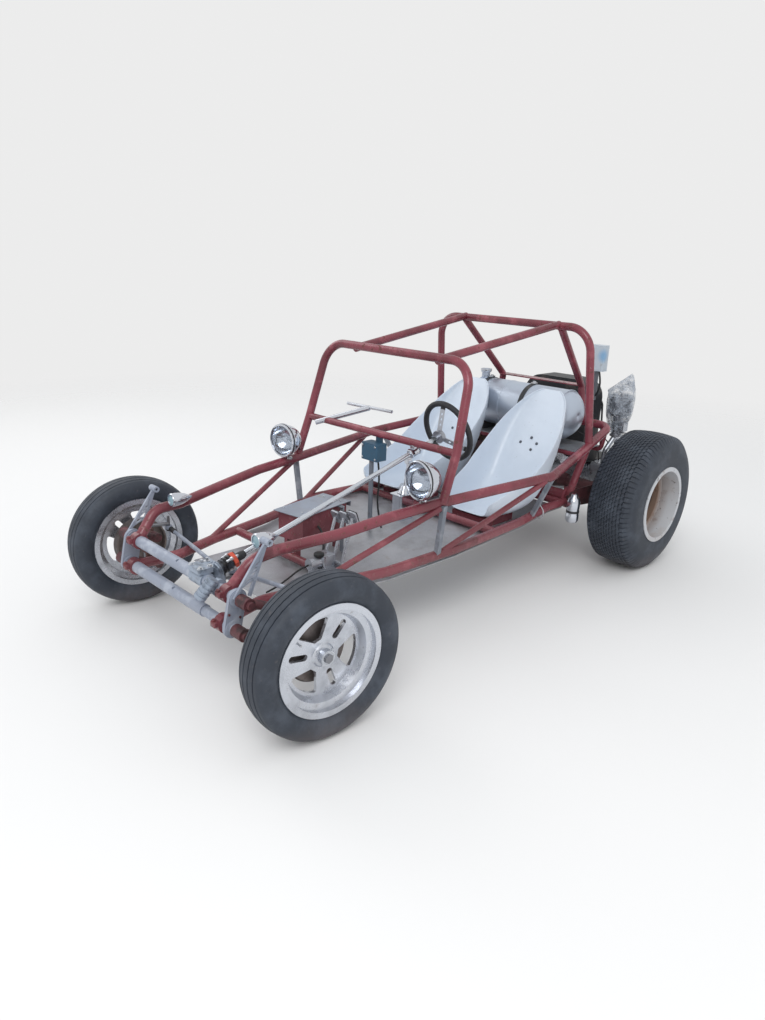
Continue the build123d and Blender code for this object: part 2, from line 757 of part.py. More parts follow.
for word, side in sides:
    rod_z = drop_arm_z + side * rod_lift
    near = drop_arm_point(0, drop_arm_length, rod_z)
    far = knuckle_point(side, 0, steer_arm_length, rod_z)
    with BuildPart() as tie_rod:
        inset = rod_inset / (Vector(*far) - Vector(*near)).length
        add(straight_tube(between(near, far, inset), between(near, far, 1 - inset), rod_radius))
        for end, bore in ((near, rod_pin_radius + pin_gap), (far, rod_pin_radius + open_pin_gap)):
            with BuildSketch(Plane(origin=end).offset(-rod_eye_height / 2)):
                Circle(rod_eye_radius)
            extrude(amount=rod_eye_height)
            with BuildSketch(Plane(origin=end).offset(-rod_eye_height / 2)):
                Circle(bore)
            extrude(amount=rod_eye_height, mode=Mode.SUBTRACT)
    save(tie_rod.part, f"tie_rod_{word}")

# Steering column and wheel
with BuildPart() as steering_shaft:
    with BuildSketch(column_plane.offset(-coupler_depth - box_nose_gap - 26)):
        Circle(shaft_radius)
    extrude(amount=column_length + coupler_depth + box_nose_gap + 20)
    with BuildSketch(column_plane.offset(-coupler_depth)):
        RegularPolygon(coupler_radius, 8)
    extrude(amount=coupler_depth)
save(steering_shaft.part, "steering_shaft")

wheel_plane = column_plane.offset(column_length)
wheel_radius = 136
wheel_grip_radius = 13
rim_lift = 52
wheel_spokes = (92, 212, 332)
spoke_width = 26
spoke_sheet = 4
spoke_holes = 3
spoke_hole_radius = 6
wheel_hub_radius = 30
wheel_grip_angle = 360 / len(wheel_spokes)
with BuildPart() as steering_wheel:
    with BuildSketch(wheel_plane.offset(-14)):
        Circle(wheel_hub_radius)
        Circle(shaft_radius + pin_gap, mode=Mode.SUBTRACT)
    extrude(amount=22)
    for angle in wheel_spokes:
        a = radians(angle)
        inner = wheel_plane.from_local_coords((24 * cos(a), 24 * sin(a), 2))
        outer = wheel_plane.from_local_coords((wheel_radius * cos(a), wheel_radius * sin(a), rim_lift))
        along = (outer - inner).normalized()
        sideways = wheel_plane.z_dir.cross(along)
        spoke_plane = Plane(origin=inner, x_dir=along, z_dir=along.cross(sideways))
        reach = (outer - inner).length
        with BuildSketch(spoke_plane.offset(-spoke_sheet / 2)):
            with Locations((reach / 2, 0)):
                Rectangle(reach, spoke_width)
            for k in range(spoke_holes):
                with Locations((30 + 24 * k, 0)):
                    Circle(spoke_hole_radius, mode=Mode.SUBTRACT)
        extrude(amount=spoke_sheet)
    with BuildSketch(Plane(origin=wheel_plane.origin, x_dir=wheel_plane.x_dir, z_dir=-wheel_plane.y_dir)):
        with Locations((wheel_radius, rim_lift)):
            Circle(wheel_grip_radius)
    revolve(axis=Axis(wheel_plane.origin, wheel_plane.z_dir))
save(steering_wheel.part, "steering_wheel")

# Column bearing under the dash tube
bearing_share = (dash_back + 20) / (1038 + 20)
bearing_point = between(coupler, hub, bearing_share)
bearing_radius = 20
with BuildPart() as column_bearing:
    with BuildSketch(Plane(origin=bearing_point, z_dir=column_run).offset(-14)):
        Circle(bearing_radius)
    extrude(amount=28)
    with BuildSketch(Plane.XY.offset(bearing_point[2])):
        with Locations((bearing_point[0], front_axle_y + dash_back)):
            Rectangle(24, 30)
    extrude(amount=dash_z - bearing_point[2])
    with BuildSketch(Plane(origin=bearing_point, z_dir=column_run).offset(-40)):
        Circle(shaft_radius + pin_gap)
    extrude(amount=80, mode=Mode.SUBTRACT)
    add(front_hoop.part, mode=Mode.SUBTRACT)
save(column_bearing.part, "column_bearing")

# Battery box on the pan, set askew, with its overhanging lid bent down at the rear end
battery_x = 8
battery_back = 506
battery_skew = 9
battery_width = 142
battery_length = 286
battery_top_z = 546
battery_bottom_z = 426
# columns: half width, distance behind the front axle, bottom, width, depth
battery_legs = [(0, 374, 352, 18, 26), (62, 374, 352, 18, 26), (-50, 630, 327, 22, 22), (20, 630, 327, 22, 22)]
lid_width = 166
lid_length = 322
lid_sheet = 3
lid_lip = 22
pan_low_top = pan_low_z
battery_y = front_axle_y + battery_back
skew_direction = (cos(radians(battery_skew)), sin(radians(battery_skew)), 0)
with BuildPart() as battery_box:
    with BuildSketch(Plane(origin=(battery_x, battery_y, battery_bottom_z), x_dir=skew_direction, z_dir=(0, 0, 1))):
        Rectangle(battery_width, battery_length)
    extrude(amount=battery_top_z - battery_bottom_z)
    for x, behind, low_z, leg_width, leg_depth in battery_legs:
        with BuildSketch(Plane.XY.offset(low_z)):
            with Locations((x, front_axle_y + behind)):
                Rectangle(leg_width, leg_depth)
        extrude(amount=battery_bottom_z + 4 - low_z)
    add(lower_frame.part, mode=Mode.SUBTRACT)
    add(floor_pan.part, mode=Mode.SUBTRACT)
save(battery_box.part, "battery_box")
with BuildPart() as battery_lid:
    lid_plane = Plane(origin=(battery_x, battery_y, battery_top_z), x_dir=skew_direction, z_dir=(0, 0, 1))
    with BuildSketch(lid_plane):
        Rectangle(lid_width, lid_length)
    extrude(amount=lid_sheet)
    with BuildSketch(lid_plane.offset(-lid_lip)):
        with Locations((0, lid_length / 2 - lid_sheet / 2)):
            Rectangle(lid_width, lid_sheet)
    extrude(amount=lid_lip)
save(battery_lid.part, "battery_lid")

# Pedals: hinge casting with the master cylinder ahead of it, arms and pads
pedal_base_back = 372
pedal_pivot_z = pan_low_top + 70
# columns: half width, height of the pad
pedal_table = [(206, 556), (258, 566), (312, 580)]
with BuildPart() as pedal_cluster:
    with BuildSketch(Plane.XY.offset(pan_low_top)):
        with Locations((258, front_axle_y + pedal_base_back)):
            RectangleRounded(134, 96, 14)
    extrude(amount=58)
    with BuildSketch(Plane.XY.offset(pan_low_top)):
        with Locations((250, front_axle_y + pedal_base_back)):
            RectangleRounded(70, 60, 12)
    extrude(amount=108)
    add(straight_tube(at(250, pedal_base_back - 86, pan_low_top + 80), at(250, pedal_base_back, pan_low_top + 80), 24))
    add(straight_tube(at(184, pedal_base_back + 36, pedal_pivot_z), at(334, pedal_base_back + 36, pedal_pivot_z), 9))
    add(straight_tube(at(198, pedal_base_back + 36, pan_low_top), at(198, pedal_base_back + 36, pedal_pivot_z), 10))
    add(straight_tube(at(318, pedal_base_back + 36, pan_low_top), at(318, pedal_base_back + 36, pedal_pivot_z), 10))
    for x, pad_z in pedal_table:
        pad = at(x, pedal_base_back + 92, pad_z)
        add(straight_tube(at(x, pedal_base_back + 36, pedal_pivot_z), pad, 7))
        with BuildSketch(Plane(origin=pad, x_dir=(1, 0, 0), z_dir=(0, 0.9, 0.35))):
            RectangleRounded(46, 54, 8)
        extrude(amount=8)
    add(lower_frame.part, mode=Mode.SUBTRACT)
    add(side_diagonals.part, mode=Mode.SUBTRACT)
save(pedal_cluster.part, "pedal_cluster")

# Seats: one-piece scoops, seated on their base boxes
seat_x = 250
seat_wall = 5
seat_flat_z = 400
seat_floor_share = 0.8
# columns: distance behind, height of the centre line, half width, side height, tilt of the section
seat_back = [
    (1836, 780, 184, 74, 25),
    (1896, 893, 132, 30, 26),
    (1926, 943, 86, 13, 28),
    (1937, 960, 46, 7, 30),
]
seat_sections = {
    1: [
        (1300, 410, 155, 98, 94),
        (1400, seat_flat_z, 176, 146, 90),
        (1520, seat_flat_z, 188, 192, 84),
        (1625, 428, 198, 204, 62),
        (1702, 512, 204, 180, 40),
        (1768, 636, 204, 130, 28),
    ],
    -1: [
        (1195, 456, 178, 54, 96),
        (1300, 412, 180, 128, 94),
        (1400, seat_flat_z, 184, 196, 90),
        (1520, seat_flat_z, 190, 226, 82),
        (1625, 428, 198, 236, 60),
        (1702, 512, 204, 214, 39),
        (1768, 636, 204, 156, 28),
    ],
}


def seat_channel(plane, half, depth):
    """U-shaped section of a seat, open along the plane's Y."""
    floor_half = half * seat_floor_share
    with BuildSketch(plane) as section:
        Polygon((-half, depth), (-floor_half, 0), (floor_half, 0), (half, depth),
                (half - seat_wall, depth), (floor_half - seat_wall, seat_wall),
                (seat_wall - floor_half, seat_wall), (seat_wall - half, depth), align=None)
    return section.sketch


for word, side in sides:
    with BuildPart() as seat:
        for behind, z, half, depth, tilt in seat_sections[side] + seat_back:
            a = radians(tilt)
            add(seat_channel(Plane(origin=at(side * seat_x, behind, z), x_dir=(-1, 0, 0), z_dir=(0, sin(a), cos(a))),
                             half, depth))
        loft(ruled=True)
    save(seat.part, f"seat_{word}")

# Seat base boxes
base_half = 110
base_front_back = 1305
base_rear_back = 1515
with BuildPart() as seat_bases:
    for side in (-1, 1):
        with BuildSketch(Plane.XY.offset(pan_high_z)):
            with Locations((side * seat_x, front_axle_y + (base_front_back + base_rear_back) / 2)):
                Rectangle(2 * base_half, base_rear_back - base_front_back)
        extrude(amount=seat_flat_z - pan_high_z)
save(seat_bases.part, "seat_bases")

# Torsion housing with its end plates, and the uprights from it to the upper rails
torsion_back = 1960
torsion_z = 398
torsion_radius = 34
torsion_half = 402
torsion_cap_radius = 58
torsion_cap_depth = 14
upright_top = (502, rear_hoop_back + 70, 700)
with BuildPart() as torsion_housing:
    add(straight_tube(at(-torsion_half, torsion_back, torsion_z), at(torsion_half, torsion_back, torsion_z),
                      torsion_radius))
    for side in (-1, 1):
        with BuildSketch(Plane.YZ.offset(side * torsion_half - torsion_cap_depth / 2)):
            with Locations((front_axle_y + torsion_back, torsion_z)):
                Circle(torsion_cap_radius)
        extrude(amount=torsion_cap_depth)
        add(straight_tube(at(side * torsion_half, torsion_back, torsion_z),
                          at(side * upright_top[0], *upright_top[1:]), hoop_radius))
    add(upper_rail.part, mode=Mode.SUBTRACT)
    add(lower_frame.part, mode=Mode.SUBTRACT)
    add(rear_hoop.part, mode=Mode.SUBTRACT)
save(torsion_housing.part, "torsion_housing")

# Deck frame: a bar between the uprights and a hanger from the rails behind it
deck_bar_radius = 12
deck_z = 656
deck_front_back = 1936
deck_rear_back = 2168
deck_half = 432
deck_sheet = 4
deck_bar_z = deck_z - fit_gap - deck_bar_radius
hanger_top_x, hanger_top_z = 473, 764
with BuildPart() as deck_frame:
    add(straight_tube(at(-486, deck_front_back + 4, deck_bar_z), at(486, deck_front_back + 4, deck_bar_z),
                      deck_bar_radius))
    hanger = [at(hanger_top_x, deck_rear_back - 20, hanger_top_z - 8), at(455, deck_rear_back - 20, deck_bar_z)]
    add(bent_tube(hanger + mirrored(hanger)[::-1], 30, deck_bar_radius))
    add(upper_rail.part, mode=Mode.SUBTRACT)
    add(torsion_housing.part, mode=Mode.SUBTRACT)
    add(rear_hoop.part, mode=Mode.SUBTRACT)

with BuildPart() as rear_deck:
    with BuildSketch(Plane.XY.offset(deck_z)):
        with Locations((0, front_axle_y + (deck_front_back + deck_rear_back) / 2)):
            Rectangle(2 * deck_half, deck_rear_back - deck_front_back)
    extrude(amount=deck_sheet)
    add(deck_frame.part, mode=Mode.SUBTRACT)
save(rear_deck.part, "rear_deck")

# Tank: a drum across the car with domed ends and a filler neck, held down by two straps on saddles
tank_radius = 130
tank_half = 352
tank_dome = 62
tank_back = 2046
tank_z = 824
filler_radius = 30
filler_height = 44
strap_x = (-236, 58)
strap_width = 26
strap_sheet = 3
saddle_half = 60
tank_edge = tank_half - tank_dome
filler_x = 8 - tank_edge
with BuildPart() as fuel_tank:
    with BuildSketch(Plane(origin=at(0, tank_back, tank_z), x_dir=(1, 0, 0), z_dir=(0, 0, 1))):
        with BuildLine():
            Line((-tank_half, 0), (tank_half, 0))
            ThreePointArc((tank_half, 0), (tank_edge + tank_dome * 0.72, tank_radius * 0.74), (tank_edge, tank_radius))
            Line((tank_edge, tank_radius), (-tank_edge, tank_radius))
            ThreePointArc((-tank_edge, tank_radius), (-tank_edge - tank_dome * 0.72, tank_radius * 0.74),
                          (-tank_half, 0))
        make_face()
    revolve(axis=Axis(at(0, tank_back, tank_z), (1, 0, 0)))
    add(straight_tube(at(filler_x, tank_back, tank_z + tank_radius - 20),
                      at(filler_x, tank_back, tank_z + tank_radius + filler_height), filler_radius - 6))
    add(straight_tube(at(filler_x, tank_back, tank_z + tank_radius + filler_height - 16),
                      at(filler_x, tank_back, tank_z + tank_radius + filler_height), filler_radius))
save(fuel_tank.part, "fuel_tank")

with BuildPart() as tank_straps:
    for x in strap_x:
        with BuildSketch(Plane.YZ.offset(x - strap_width / 2)):
            with Locations((front_axle_y + tank_back, tank_z)):
                Circle(tank_radius + fit_gap + strap_sheet)
            with Locations((front_axle_y + tank_back, (deck_z + deck_sheet + tank_z - tank_radius) / 2 + 10)):
                Rectangle(2 * saddle_half, tank_z - tank_radius - deck_z - deck_sheet + 20)
            with Locations((front_axle_y + tank_back, tank_z)):
                Circle(tank_radius + fit_gap, mode=Mode.SUBTRACT)
        extrude(amount=strap_width)
save(tank_straps.part, "tank_straps")

# Transaxle: gearbox nose, case and bell housing
bell_face = 131
bell_radius = 158
bell_z = 412
nose_back = wheelbase - 305
# columns: distance behind, radius, height of the centre
transaxle_sections = [(nose_back, 62, torsion_z), (nose_back + 150, 84, 394), (wheelbase - 60, 106, 384),
                      (wheelbase + 55, 110, 386), (wheelbase + bell_face, bell_radius, bell_z)]
axle_tube_radius = 32
axle_boot_radius = 54
axle_start_x = 92
backing_x = rear_track / 2 - 125
axle_end_x = backing_x - 4
backing_radius = 112
spring_plate_x = 432
spring_plate_sheet = 7
with BuildPart() as swing_axles:
    for side in (-1, 1):
        start = (side * axle_start_x, rear_axle_y, rear_wheel_z)
        add(straight_tube(start, (side * axle_end_x, rear_axle_y, rear_wheel_z), axle_tube_radius))
        add(tapered_bar(start, (side * (axle_start_x + 86), rear_axle_y, rear_wheel_z), axle_boot_radius,
                        axle_tube_radius + 4))
        add(straight_tube((side * axle_end_x, rear_axle_y, rear_wheel_z),
                          (side * backing_x, rear_axle_y, rear_wheel_z), backing_radius))
        add(straight_tube((side * backing_x, rear_axle_y, rear_wheel_z),
                          (side * (rear_track / 2 + rear_disc_face + 12), rear_axle_y, rear_wheel_z), stub_radius))
        with BuildSketch(Plane.YZ.offset(side * spring_plate_x - spring_plate_sheet / 2)):
            with Locations((front_axle_y + torsion_back, torsion_z)):
                Circle(46)
            with Locations((rear_axle_y, rear_wheel_z)):
                Circle(60)
            make_hull()
        extrude(amount=spring_plate_sheet)
        add(straight_tube(at(side * (torsion_half + torsion_cap_depth / 2), torsion_back, torsion_z),
                          at(side * spring_plate_x, torsion_back, torsion_z), 26))
    add(torsion_housing.part, mode=Mode.SUBTRACT)
save(swing_axles.part, "swing_axles")

with BuildPart() as transaxle:
    for behind, radius, z in transaxle_sections:
        with BuildSketch(Plane(origin=at(0, behind, z), x_dir=(1, 0, 0), z_dir=(0, 1, 0))):
            Circle(radius)
    loft(ruled=True)
    with BuildSketch(Plane(origin=at(0, nose_back + 8, torsion_z), x_dir=(1, 0, 0), z_dir=(0, -1, 0))):
        Rectangle(190, 60)
    extrude(amount=18 + nose_back - torsion_back - torsion_radius)
    add(torsion_housing.part, mode=Mode.SUBTRACT)
    add(swing_axles.part, mode=Mode.SUBTRACT)
save(transaxle.part, "transaxle")

# Engine cradle: two forks from the torsion housing to the bell housing
fork_x = 190
fork_z = 300
fork_bend_back = wheelbase - 167
fork_end_back = wheelbase + 113
with BuildPart() as engine_cradle:
    for side in (-1, 1):
        add(bent_tube([at(side * 160, torsion_back, torsion_z), at(side * fork_x, fork_bend_back, fork_z),
                       at(side * fork_x, fork_end_back, fork_z)], 60, hoop_radius))
        with BuildSketch(Plane(origin=at(side * 150, fork_end_back - 30, fork_z), x_dir=(1, 0, 0), z_dir=(0, 1, 0))):
            Rectangle(80, 34)
        extrude(amount=30)
    add(torsion_housing.part, mode=Mode.SUBTRACT)
    add(transaxle.part, mode=Mode.SUBTRACT)

with BuildPart() as rear_subframe:
    add(deck_frame.part)
    add(engine_cradle.part)
save(rear_subframe.part, "rear_subframe")

# Engine: crankcase with its pulley and the generator on its stand
engine_front = wheelbase + bell_face
crank_z = 415
case_half = 105
case_bottom_z = 318
case_top_z = 500
case_length = 372
generator_z = 742
generator_radius = 52
shroud_back = wheelbase + 87
shroud_depth = 158
with BuildPart() as engine_block:
    with BuildSketch(Plane(origin=at(0, engine_front, 0), x_dir=(1, 0, 0), z_dir=(0, -1, 0))):
        with Locations((0, (case_bottom_z + case_top_z) / 2)):
            RectangleRounded(2 * case_half, case_top_z - case_bottom_z, 30)
    extrude(amount=-case_length)
    with BuildSketch(Plane.XY.offset(case_bottom_z - 34)):
        with Locations((0, front_axle_y + engine_front + 190)):
            RectangleRounded(200, 250, 30)
    extrude(amount=40)
    with BuildSketch(Plane.XY.offset(case_top_z - 10)):
        with Locations((0, front_axle_y + shroud_back + shroud_depth + 120)):
            RectangleRounded(90, 80, 16)
    extrude(amount=generator_z - case_top_z)
    add(straight_tube(at(0, shroud_back + shroud_depth, generator_z),
                      at(0, shroud_back + shroud_depth + 218, generator_z), generator_radius))
    add(straight_tube(at(0, shroud_back + shroud_depth + 218, generator_z),
                      at(0, shroud_back + shroud_depth + 240, generator_z), 22))
    add(straight_tube(at(0, engine_front + case_length + 6, generator_z),
                      at(0, engine_front + case_length + 26, generator_z), 56))
    add(straight_tube(at(0, engine_front + case_length, crank_z), at(0, engine_front + case_length + 26, crank_z), 84))
    add(straight_tube(at(0, shroud_back + shroud_depth + 200, generator_z),
                      at(0, engine_front + case_length + 20, generator_z), 14))
save(engine_block.part, "engine_block")

# Cylinders with their cooling fins, heads and rocker covers
bore_pitch = 140
first_bore = 95
barrel_radius = 50
fin_radius = 61
fin_pitch = 14
fin_thickness = 4
fin_count = 8
head_x = 226
head_depth = 88
head_height = 120
cover_depth = 30
with BuildPart() as engine_cylinders:
    for side in (-1, 1):
        for k in range(2):
            behind = engine_front + first_bore + k * bore_pitch
            add(straight_tube(at(side * case_half, behind, crank_z), at(side * (head_x + 10), behind, crank_z),
                              barrel_radius))
            for j in range(fin_count):
                x = case_half + 10 + j * fin_pitch
                add(straight_tube(at(side * x, behind, crank_z), at(side * (x + fin_thickness), behind, crank_z),
                                  fin_radius))
        middle = front_axle_y + engine_front + first_bore + bore_pitch / 2
        with BuildSketch(Plane.YZ.offset(side * (head_x + head_depth / 2))):
            with Locations((middle, crank_z)):
                RectangleRounded(2 * bore_pitch - 8, head_height, 16)
        extrude(amount=head_depth / 2, both=True)
        with BuildSketch(Plane.YZ.offset(side * (head_x + head_depth + cover_depth / 2))):
            with Locations((middle, crank_z)):
                RectangleRounded(2 * bore_pitch - 50, head_height - 30, 38)
        extrude(amount=cover_depth / 2, both=True)
save(engine_cylinders.part, "engine_cylinders")

# Fan shroud with its tin over the cylinders
shroud_x = -22
shroud_half = 223
shroud_top_z = 958
tin_sheet = 4
tin_z = crank_z + fin_radius + fit_gap
with BuildPart() as fan_shroud:
    with BuildSketch(Plane(origin=at(shroud_x, shroud_back, (case_top_z + shroud_top_z) / 2), x_dir=(1, 0, 0),
                           z_dir=(0, 1, 0))):
        RectangleRounded(2 * shroud_half, shroud_top_z - case_top_z, 112)
    extrude(amount=shroud_depth)
    for side in (-1, 1):
        with BuildSketch(Plane.XY.offset(tin_z)):
            with Locations((side * (case_half + head_x) / 2, front_axle_y + engine_front + 150)):
                Rectangle(head_x - case_half - 4, 290)
        extrude(amount=tin_sheet)
        with BuildSketch(Plane.XY.offset(tin_z)):
            with Locations((side * (case_half + head_x) / 2, front_axle_y + shroud_back + shroud_depth - 52)):
                Rectangle(head_x - case_half - 30, 100)
        extrude(amount=80)
    add(transaxle.part, mode=Mode.SUBTRACT)
    add(engine_block.part, mode=Mode.SUBTRACT)
save(fan_shroud.part, "fan_shroud")

# Carburettors on their manifolds, one over each head, and the air cleaners on top
carb_x = 294
carb_back = engine_front + first_bore + bore_pitch / 2
carb_base_z = 628
carb_radius = 30
filter_radius = 68
filter_bottom_z = 764
filter_top_z = 868
head_top_z = crank_z + head_height / 2
with BuildPart() as carburettors:
    for side in (-1, 1):
        for shift in (-bore_pitch / 2, bore_pitch / 2):
            add(bent_tube([at(side * (head_x + 44), carb_back + shift, head_top_z + fit_gap),
                           at(side * (head_x + 48), carb_back + shift, head_top_z + 70),
                           at(side * carb_x, carb_back, carb_base_z + 10)], 24, 16))
        add(straight_tube(at(side * carb_x, carb_back, carb_base_z), at(side * carb_x, carb_back, carb_base_z + 12), 38))
        add(straight_tube(at(side * carb_x, carb_back, carb_base_z), at(side * carb_x, carb_back, filter_bottom_z - 12),
                          carb_radius))
        with BuildSketch(Plane.XY.offset(carb_base_z + 36)):
            with Locations((side * (carb_x + 26), front_axle_y + carb_back)):
                RectangleRounded(58, 62, 8)
        extrude(amount=54)
        add(straight_tube(at(side * carb_x, carb_back, filter_bottom_z - 12), at(side * carb_x, carb_back, filter_bottom_z),
                          52))
    add(engine_cylinders.part, mode=Mode.SUBTRACT)
save(carburettors.part, "carburettors")

with BuildPart() as air_cleaners:
    for side in (-1, 1):
        add(straight_tube(at(side * carb_x, carb_back, filter_bottom_z), at(side * carb_x, carb_back, filter_top_z - 4),
                          filter_radius - 3))
        for z in (filter_bottom_z, filter_top_z - 8):
            add(straight_tube(at(side * carb_x, carb_back, z), at(side * carb_x, carb_back, z + 8), filter_radius))
save(air_cleaners.part, "air_cleaners")

# Breather: a bottle on a pale pipe that stands on the shroud's near shoulder
breather_x = 202
breather_back = shroud_back + 50
breather_pipe_radius = 14
breather_bottle_z = 1018
with BuildPart() as breather_bottle:
    add(straight_tube(at(breather_x, breather_back, 850), at(breather_x, breather_back, breather_bottle_z + 10),
                      breather_pipe_radius))
    with BuildSketch(Plane.XY.offset(breather_bottle_z)):
        with Locations((breather_x + 4, front_axle_y + breather_back)):
            RectangleRounded(92, 56, 8)
    extrude(amount=146)
    add(fan_shroud.part, mode=Mode.SUBTRACT)
save(breather_bottle.part, "breather_bottle")

# Exhaust: four pipes from under the heads to one cross muffler
muffler_radius = 50
muffler_half = 270
muffler_z = 262
muffler_back = wheelbase + rear_overhang - muffler_radius
head_bottom_z = crank_z - head_height / 2
port_shift = bore_pitch - 26
pipe_radius = 18
with BuildPart() as exhaust:
    add(straight_tube(at(-muffler_half, muffler_back, muffler_z), at(muffler_half, muffler_back, muffler_z),
                      muffler_radius))
    for side in (-1, 1):
        front_port = [at(side * 286, carb_back - port_shift, head_bottom_z),
                      at(side * 286, carb_back - port_shift, muffler_z),
                      at(side * 150, muffler_back, muffler_z)]
        rear_port = [at(side * 262, carb_back + port_shift, head_bottom_z),
                     at(side * 262, carb_back + port_shift, muffler_z + 10),
                     at(side * 236, muffler_back, muffler_z)]
        add(bent_tube(front_port, 40, pipe_radius))
        add(bent_tube(rear_port, 30, pipe_radius))
save(exhaust.part, "exhaust")

# Headlights: round buckets on short posts, toed inward, with glass lenses
lamp_x = 457
lamp_back = 686
lamp_z = {1: 731, -1: 723}
lamp_toe = 6
lamp_radius = 82
lamp_depth = 112
lamp_rim_depth = 15
lamp_lens_radius = 73
post_radius = 9


def lamp_plane(side, x, behind, z, toe):
    """Plane across a lamp's front edge: Z points backward along the lamp."""
    a = radians(toe)
    return Plane(origin=at(side * x, behind, z), x_dir=(0, 0, 1), z_dir=(side * sin(a), cos(a), 0))


def section_plane(plane):
    """Plane through a lamp's axis: X is the radius, Y runs backward."""
    return Plane(origin=plane.origin, x_dir=plane.x_dir, z_dir=plane.x_dir.cross(plane.z_dir))


with BuildPart() as headlights:
    for side in (-1, 1):
        plane = lamp_plane(side, lamp_x, lamp_back, lamp_z[side], lamp_toe)
        with BuildSketch(section_plane(plane)):
            with BuildLine():
                Line((lamp_radius - 5, 0), (lamp_radius, 4))
                Line((lamp_radius, 4), (lamp_radius, lamp_rim_depth))
                Line((lamp_radius, lamp_rim_depth), (lamp_radius - 6, lamp_rim_depth + 3))
                ThreePointArc((lamp_radius - 6, lamp_rim_depth + 3), (52, 82), (0, lamp_depth))
                Line((0, lamp_depth), (0, lamp_depth - 34))
                ThreePointArc((0, lamp_depth - 34), (48, 56), (lamp_lens_radius, 12))
                Line((lamp_lens_radius, 12), (lamp_lens_radius, 0))
                Line((lamp_lens_radius, 0), (lamp_radius - 5, 0))
            make_face()
        revolve(axis=Axis(plane.origin, plane.z_dir))
        foot = plane.from_local_coords((-lamp_radius + 9, 0, 44))
        add(straight_tube(tuple(foot), (foot.X, foot.Y, 612), post_radius))
    add(upper_rail.part, mode=Mode.SUBTRACT)

# Turn lights: bullets on stalks from the upper rails
bullet_x = 306
bullet_back = -3
bullet_z = 592
bullet_radius = 28
bullet_length = 100
bullet_lens_radius = 23
with BuildPart() as turn_lights:
    for side in (-1, 1):
        plane = lamp_plane(side, bullet_x, bullet_back, bullet_z, 0)
        with BuildSketch(section_plane(plane)):
            with BuildLine():
                Line((bullet_lens_radius, 0), (bullet_radius, 3))
                ThreePointArc((bullet_radius, 3), (bullet_radius - 6, bullet_length * 0.55), (0, bullet_length))
                Line((0, bullet_length), (0, 14))
                Line((0, 14), (bullet_lens_radius, 6))
                Line((bullet_lens_radius, 6), (bullet_lens_radius, 0))
            make_face()
        revolve(axis=Axis(plane.origin, plane.z_dir))
        add(straight_tube(at(side * (bullet_x + 4), 30, bullet_z - 8), at(side * 350, 30, 562), 6))
    add(upper_rail.part, mode=Mode.SUBTRACT)

with BuildPart() as lamps:
    add(headlights.part)
    add(turn_lights.part)
save(lamps.part, "lamps")

# Lamp glasses: domed discs in the lamps' front edges
lens_rise = 9
# columns: side, half width, distance behind, height, toe, seat radius
lens_table = [(1, lamp_x, lamp_back, lamp_z[1], lamp_toe, lamp_lens_radius),
              (-1, lamp_x, lamp_back, lamp_z[-1], lamp_toe, lamp_lens_radius),
              (1, bullet_x, bullet_back, bullet_z, 0, bullet_lens_radius),
              (-1, bullet_x, bullet_back, bullet_z, 0, bullet_lens_radius)]
with BuildPart() as lamp_lenses:
    for side, x, behind, z, toe, seat_radius in lens_table:
        plane = lamp_plane(side, x, behind, z, toe)
        edge = seat_radius - fit_gap
        rise = lens_rise * seat_radius / lamp_lens_radius
        with BuildSketch(section_plane(plane)):
            with BuildLine():
                ThreePointArc((0, 1 - rise), (edge / 2, 1 - rise * 0.75), (edge, 1))
                Line((edge, 1), (edge, 5))
                Line((edge, 5), (0, 5))
                Line((0, 5), (0, 1 - rise))
            make_face()
        revolve(axis=Axis(plane.origin, plane.z_dir))
save(lamp_lenses.part, "lamp_lenses")

# Passenger's T-bar handle on the dash tube
grab_stem_radius = 13
grab_bar_radius = 8
with BuildPart() as grab_handle:
    add(straight_tube(at(-396, 852, 806), at(-168, 1000, 898), grab_stem_radius))
    add(straight_tube(at(-312, 986, 900), at(-26, 1010, 900), grab_bar_radius))
    add(front_hoop.part, mode=Mode.SUBTRACT)
save(grab_handle.part, "grab_handle")

# Switch box on its post, and the gear shifter
post_x = 12
box_width = 104
box_depth = 66
box_height = 80
box_z = 700
pan_high_top = pan_high_z
with BuildPart() as switch_box:
    add(straight_tube(at(post_x, dash_back - 34, pan_high_top), at(post_x, dash_back - 34, box_z + 6), 11))
    with BuildSketch(Plane.XY.offset(box_z)):
        with Locations((post_x, front_axle_y + dash_back - 20)):
            RectangleRounded(box_width, box_depth, 6)
    extrude(amount=box_height)
    with BuildSketch(Plane.XY.offset(box_z + 14)):
        with Locations((post_x, front_axle_y + dash_back + 13)):
            Rectangle(40, 8)
    extrude(amount=dash_z - box_z - 14)
    add(front_hoop.part, mode=Mode.SUBTRACT)
    add(floor_pan.part, mode=Mode.SUBTRACT)
save(switch_box.part, "switch_box")

shifter_back = 1086
shifter_plate_z = 486
with BuildPart() as gear_shifter:
    with BuildSketch(Plane.XY.offset(pan_high_top)):
        with Locations((0, front_axle_y + shifter_back)):
            RectangleRounded(64, 96, 10)
    extrude(amount=shifter_plate_z - pan_high_top)
    with BuildSketch(Plane.XY.offset(shifter_plate_z)):
        with Locations((0, front_axle_y + shifter_back)):
            RectangleRounded(84, 112, 8)
    extrude(amount=4)
    add(tapered_bar(at(0, shifter_back, shifter_plate_z), at(0, shifter_back + 8, shifter_plate_z + 40), 30, 14))
    add(straight_tube(at(0, shifter_back, shifter_plate_z), at(0, shifter_back + 26, 640), 6))
    with BuildSketch(Plane(origin=at(0, shifter_back + 26, 650), x_dir=(1, 0, 0), z_dir=(0, 1, 0))):
        Circle(17)
    extrude(amount=11, both=True)
save(gear_shifter.part, "gear_shifter")
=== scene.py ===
import json
import math

import bpy
import numpy as np
from mathutils import Matrix, Vector


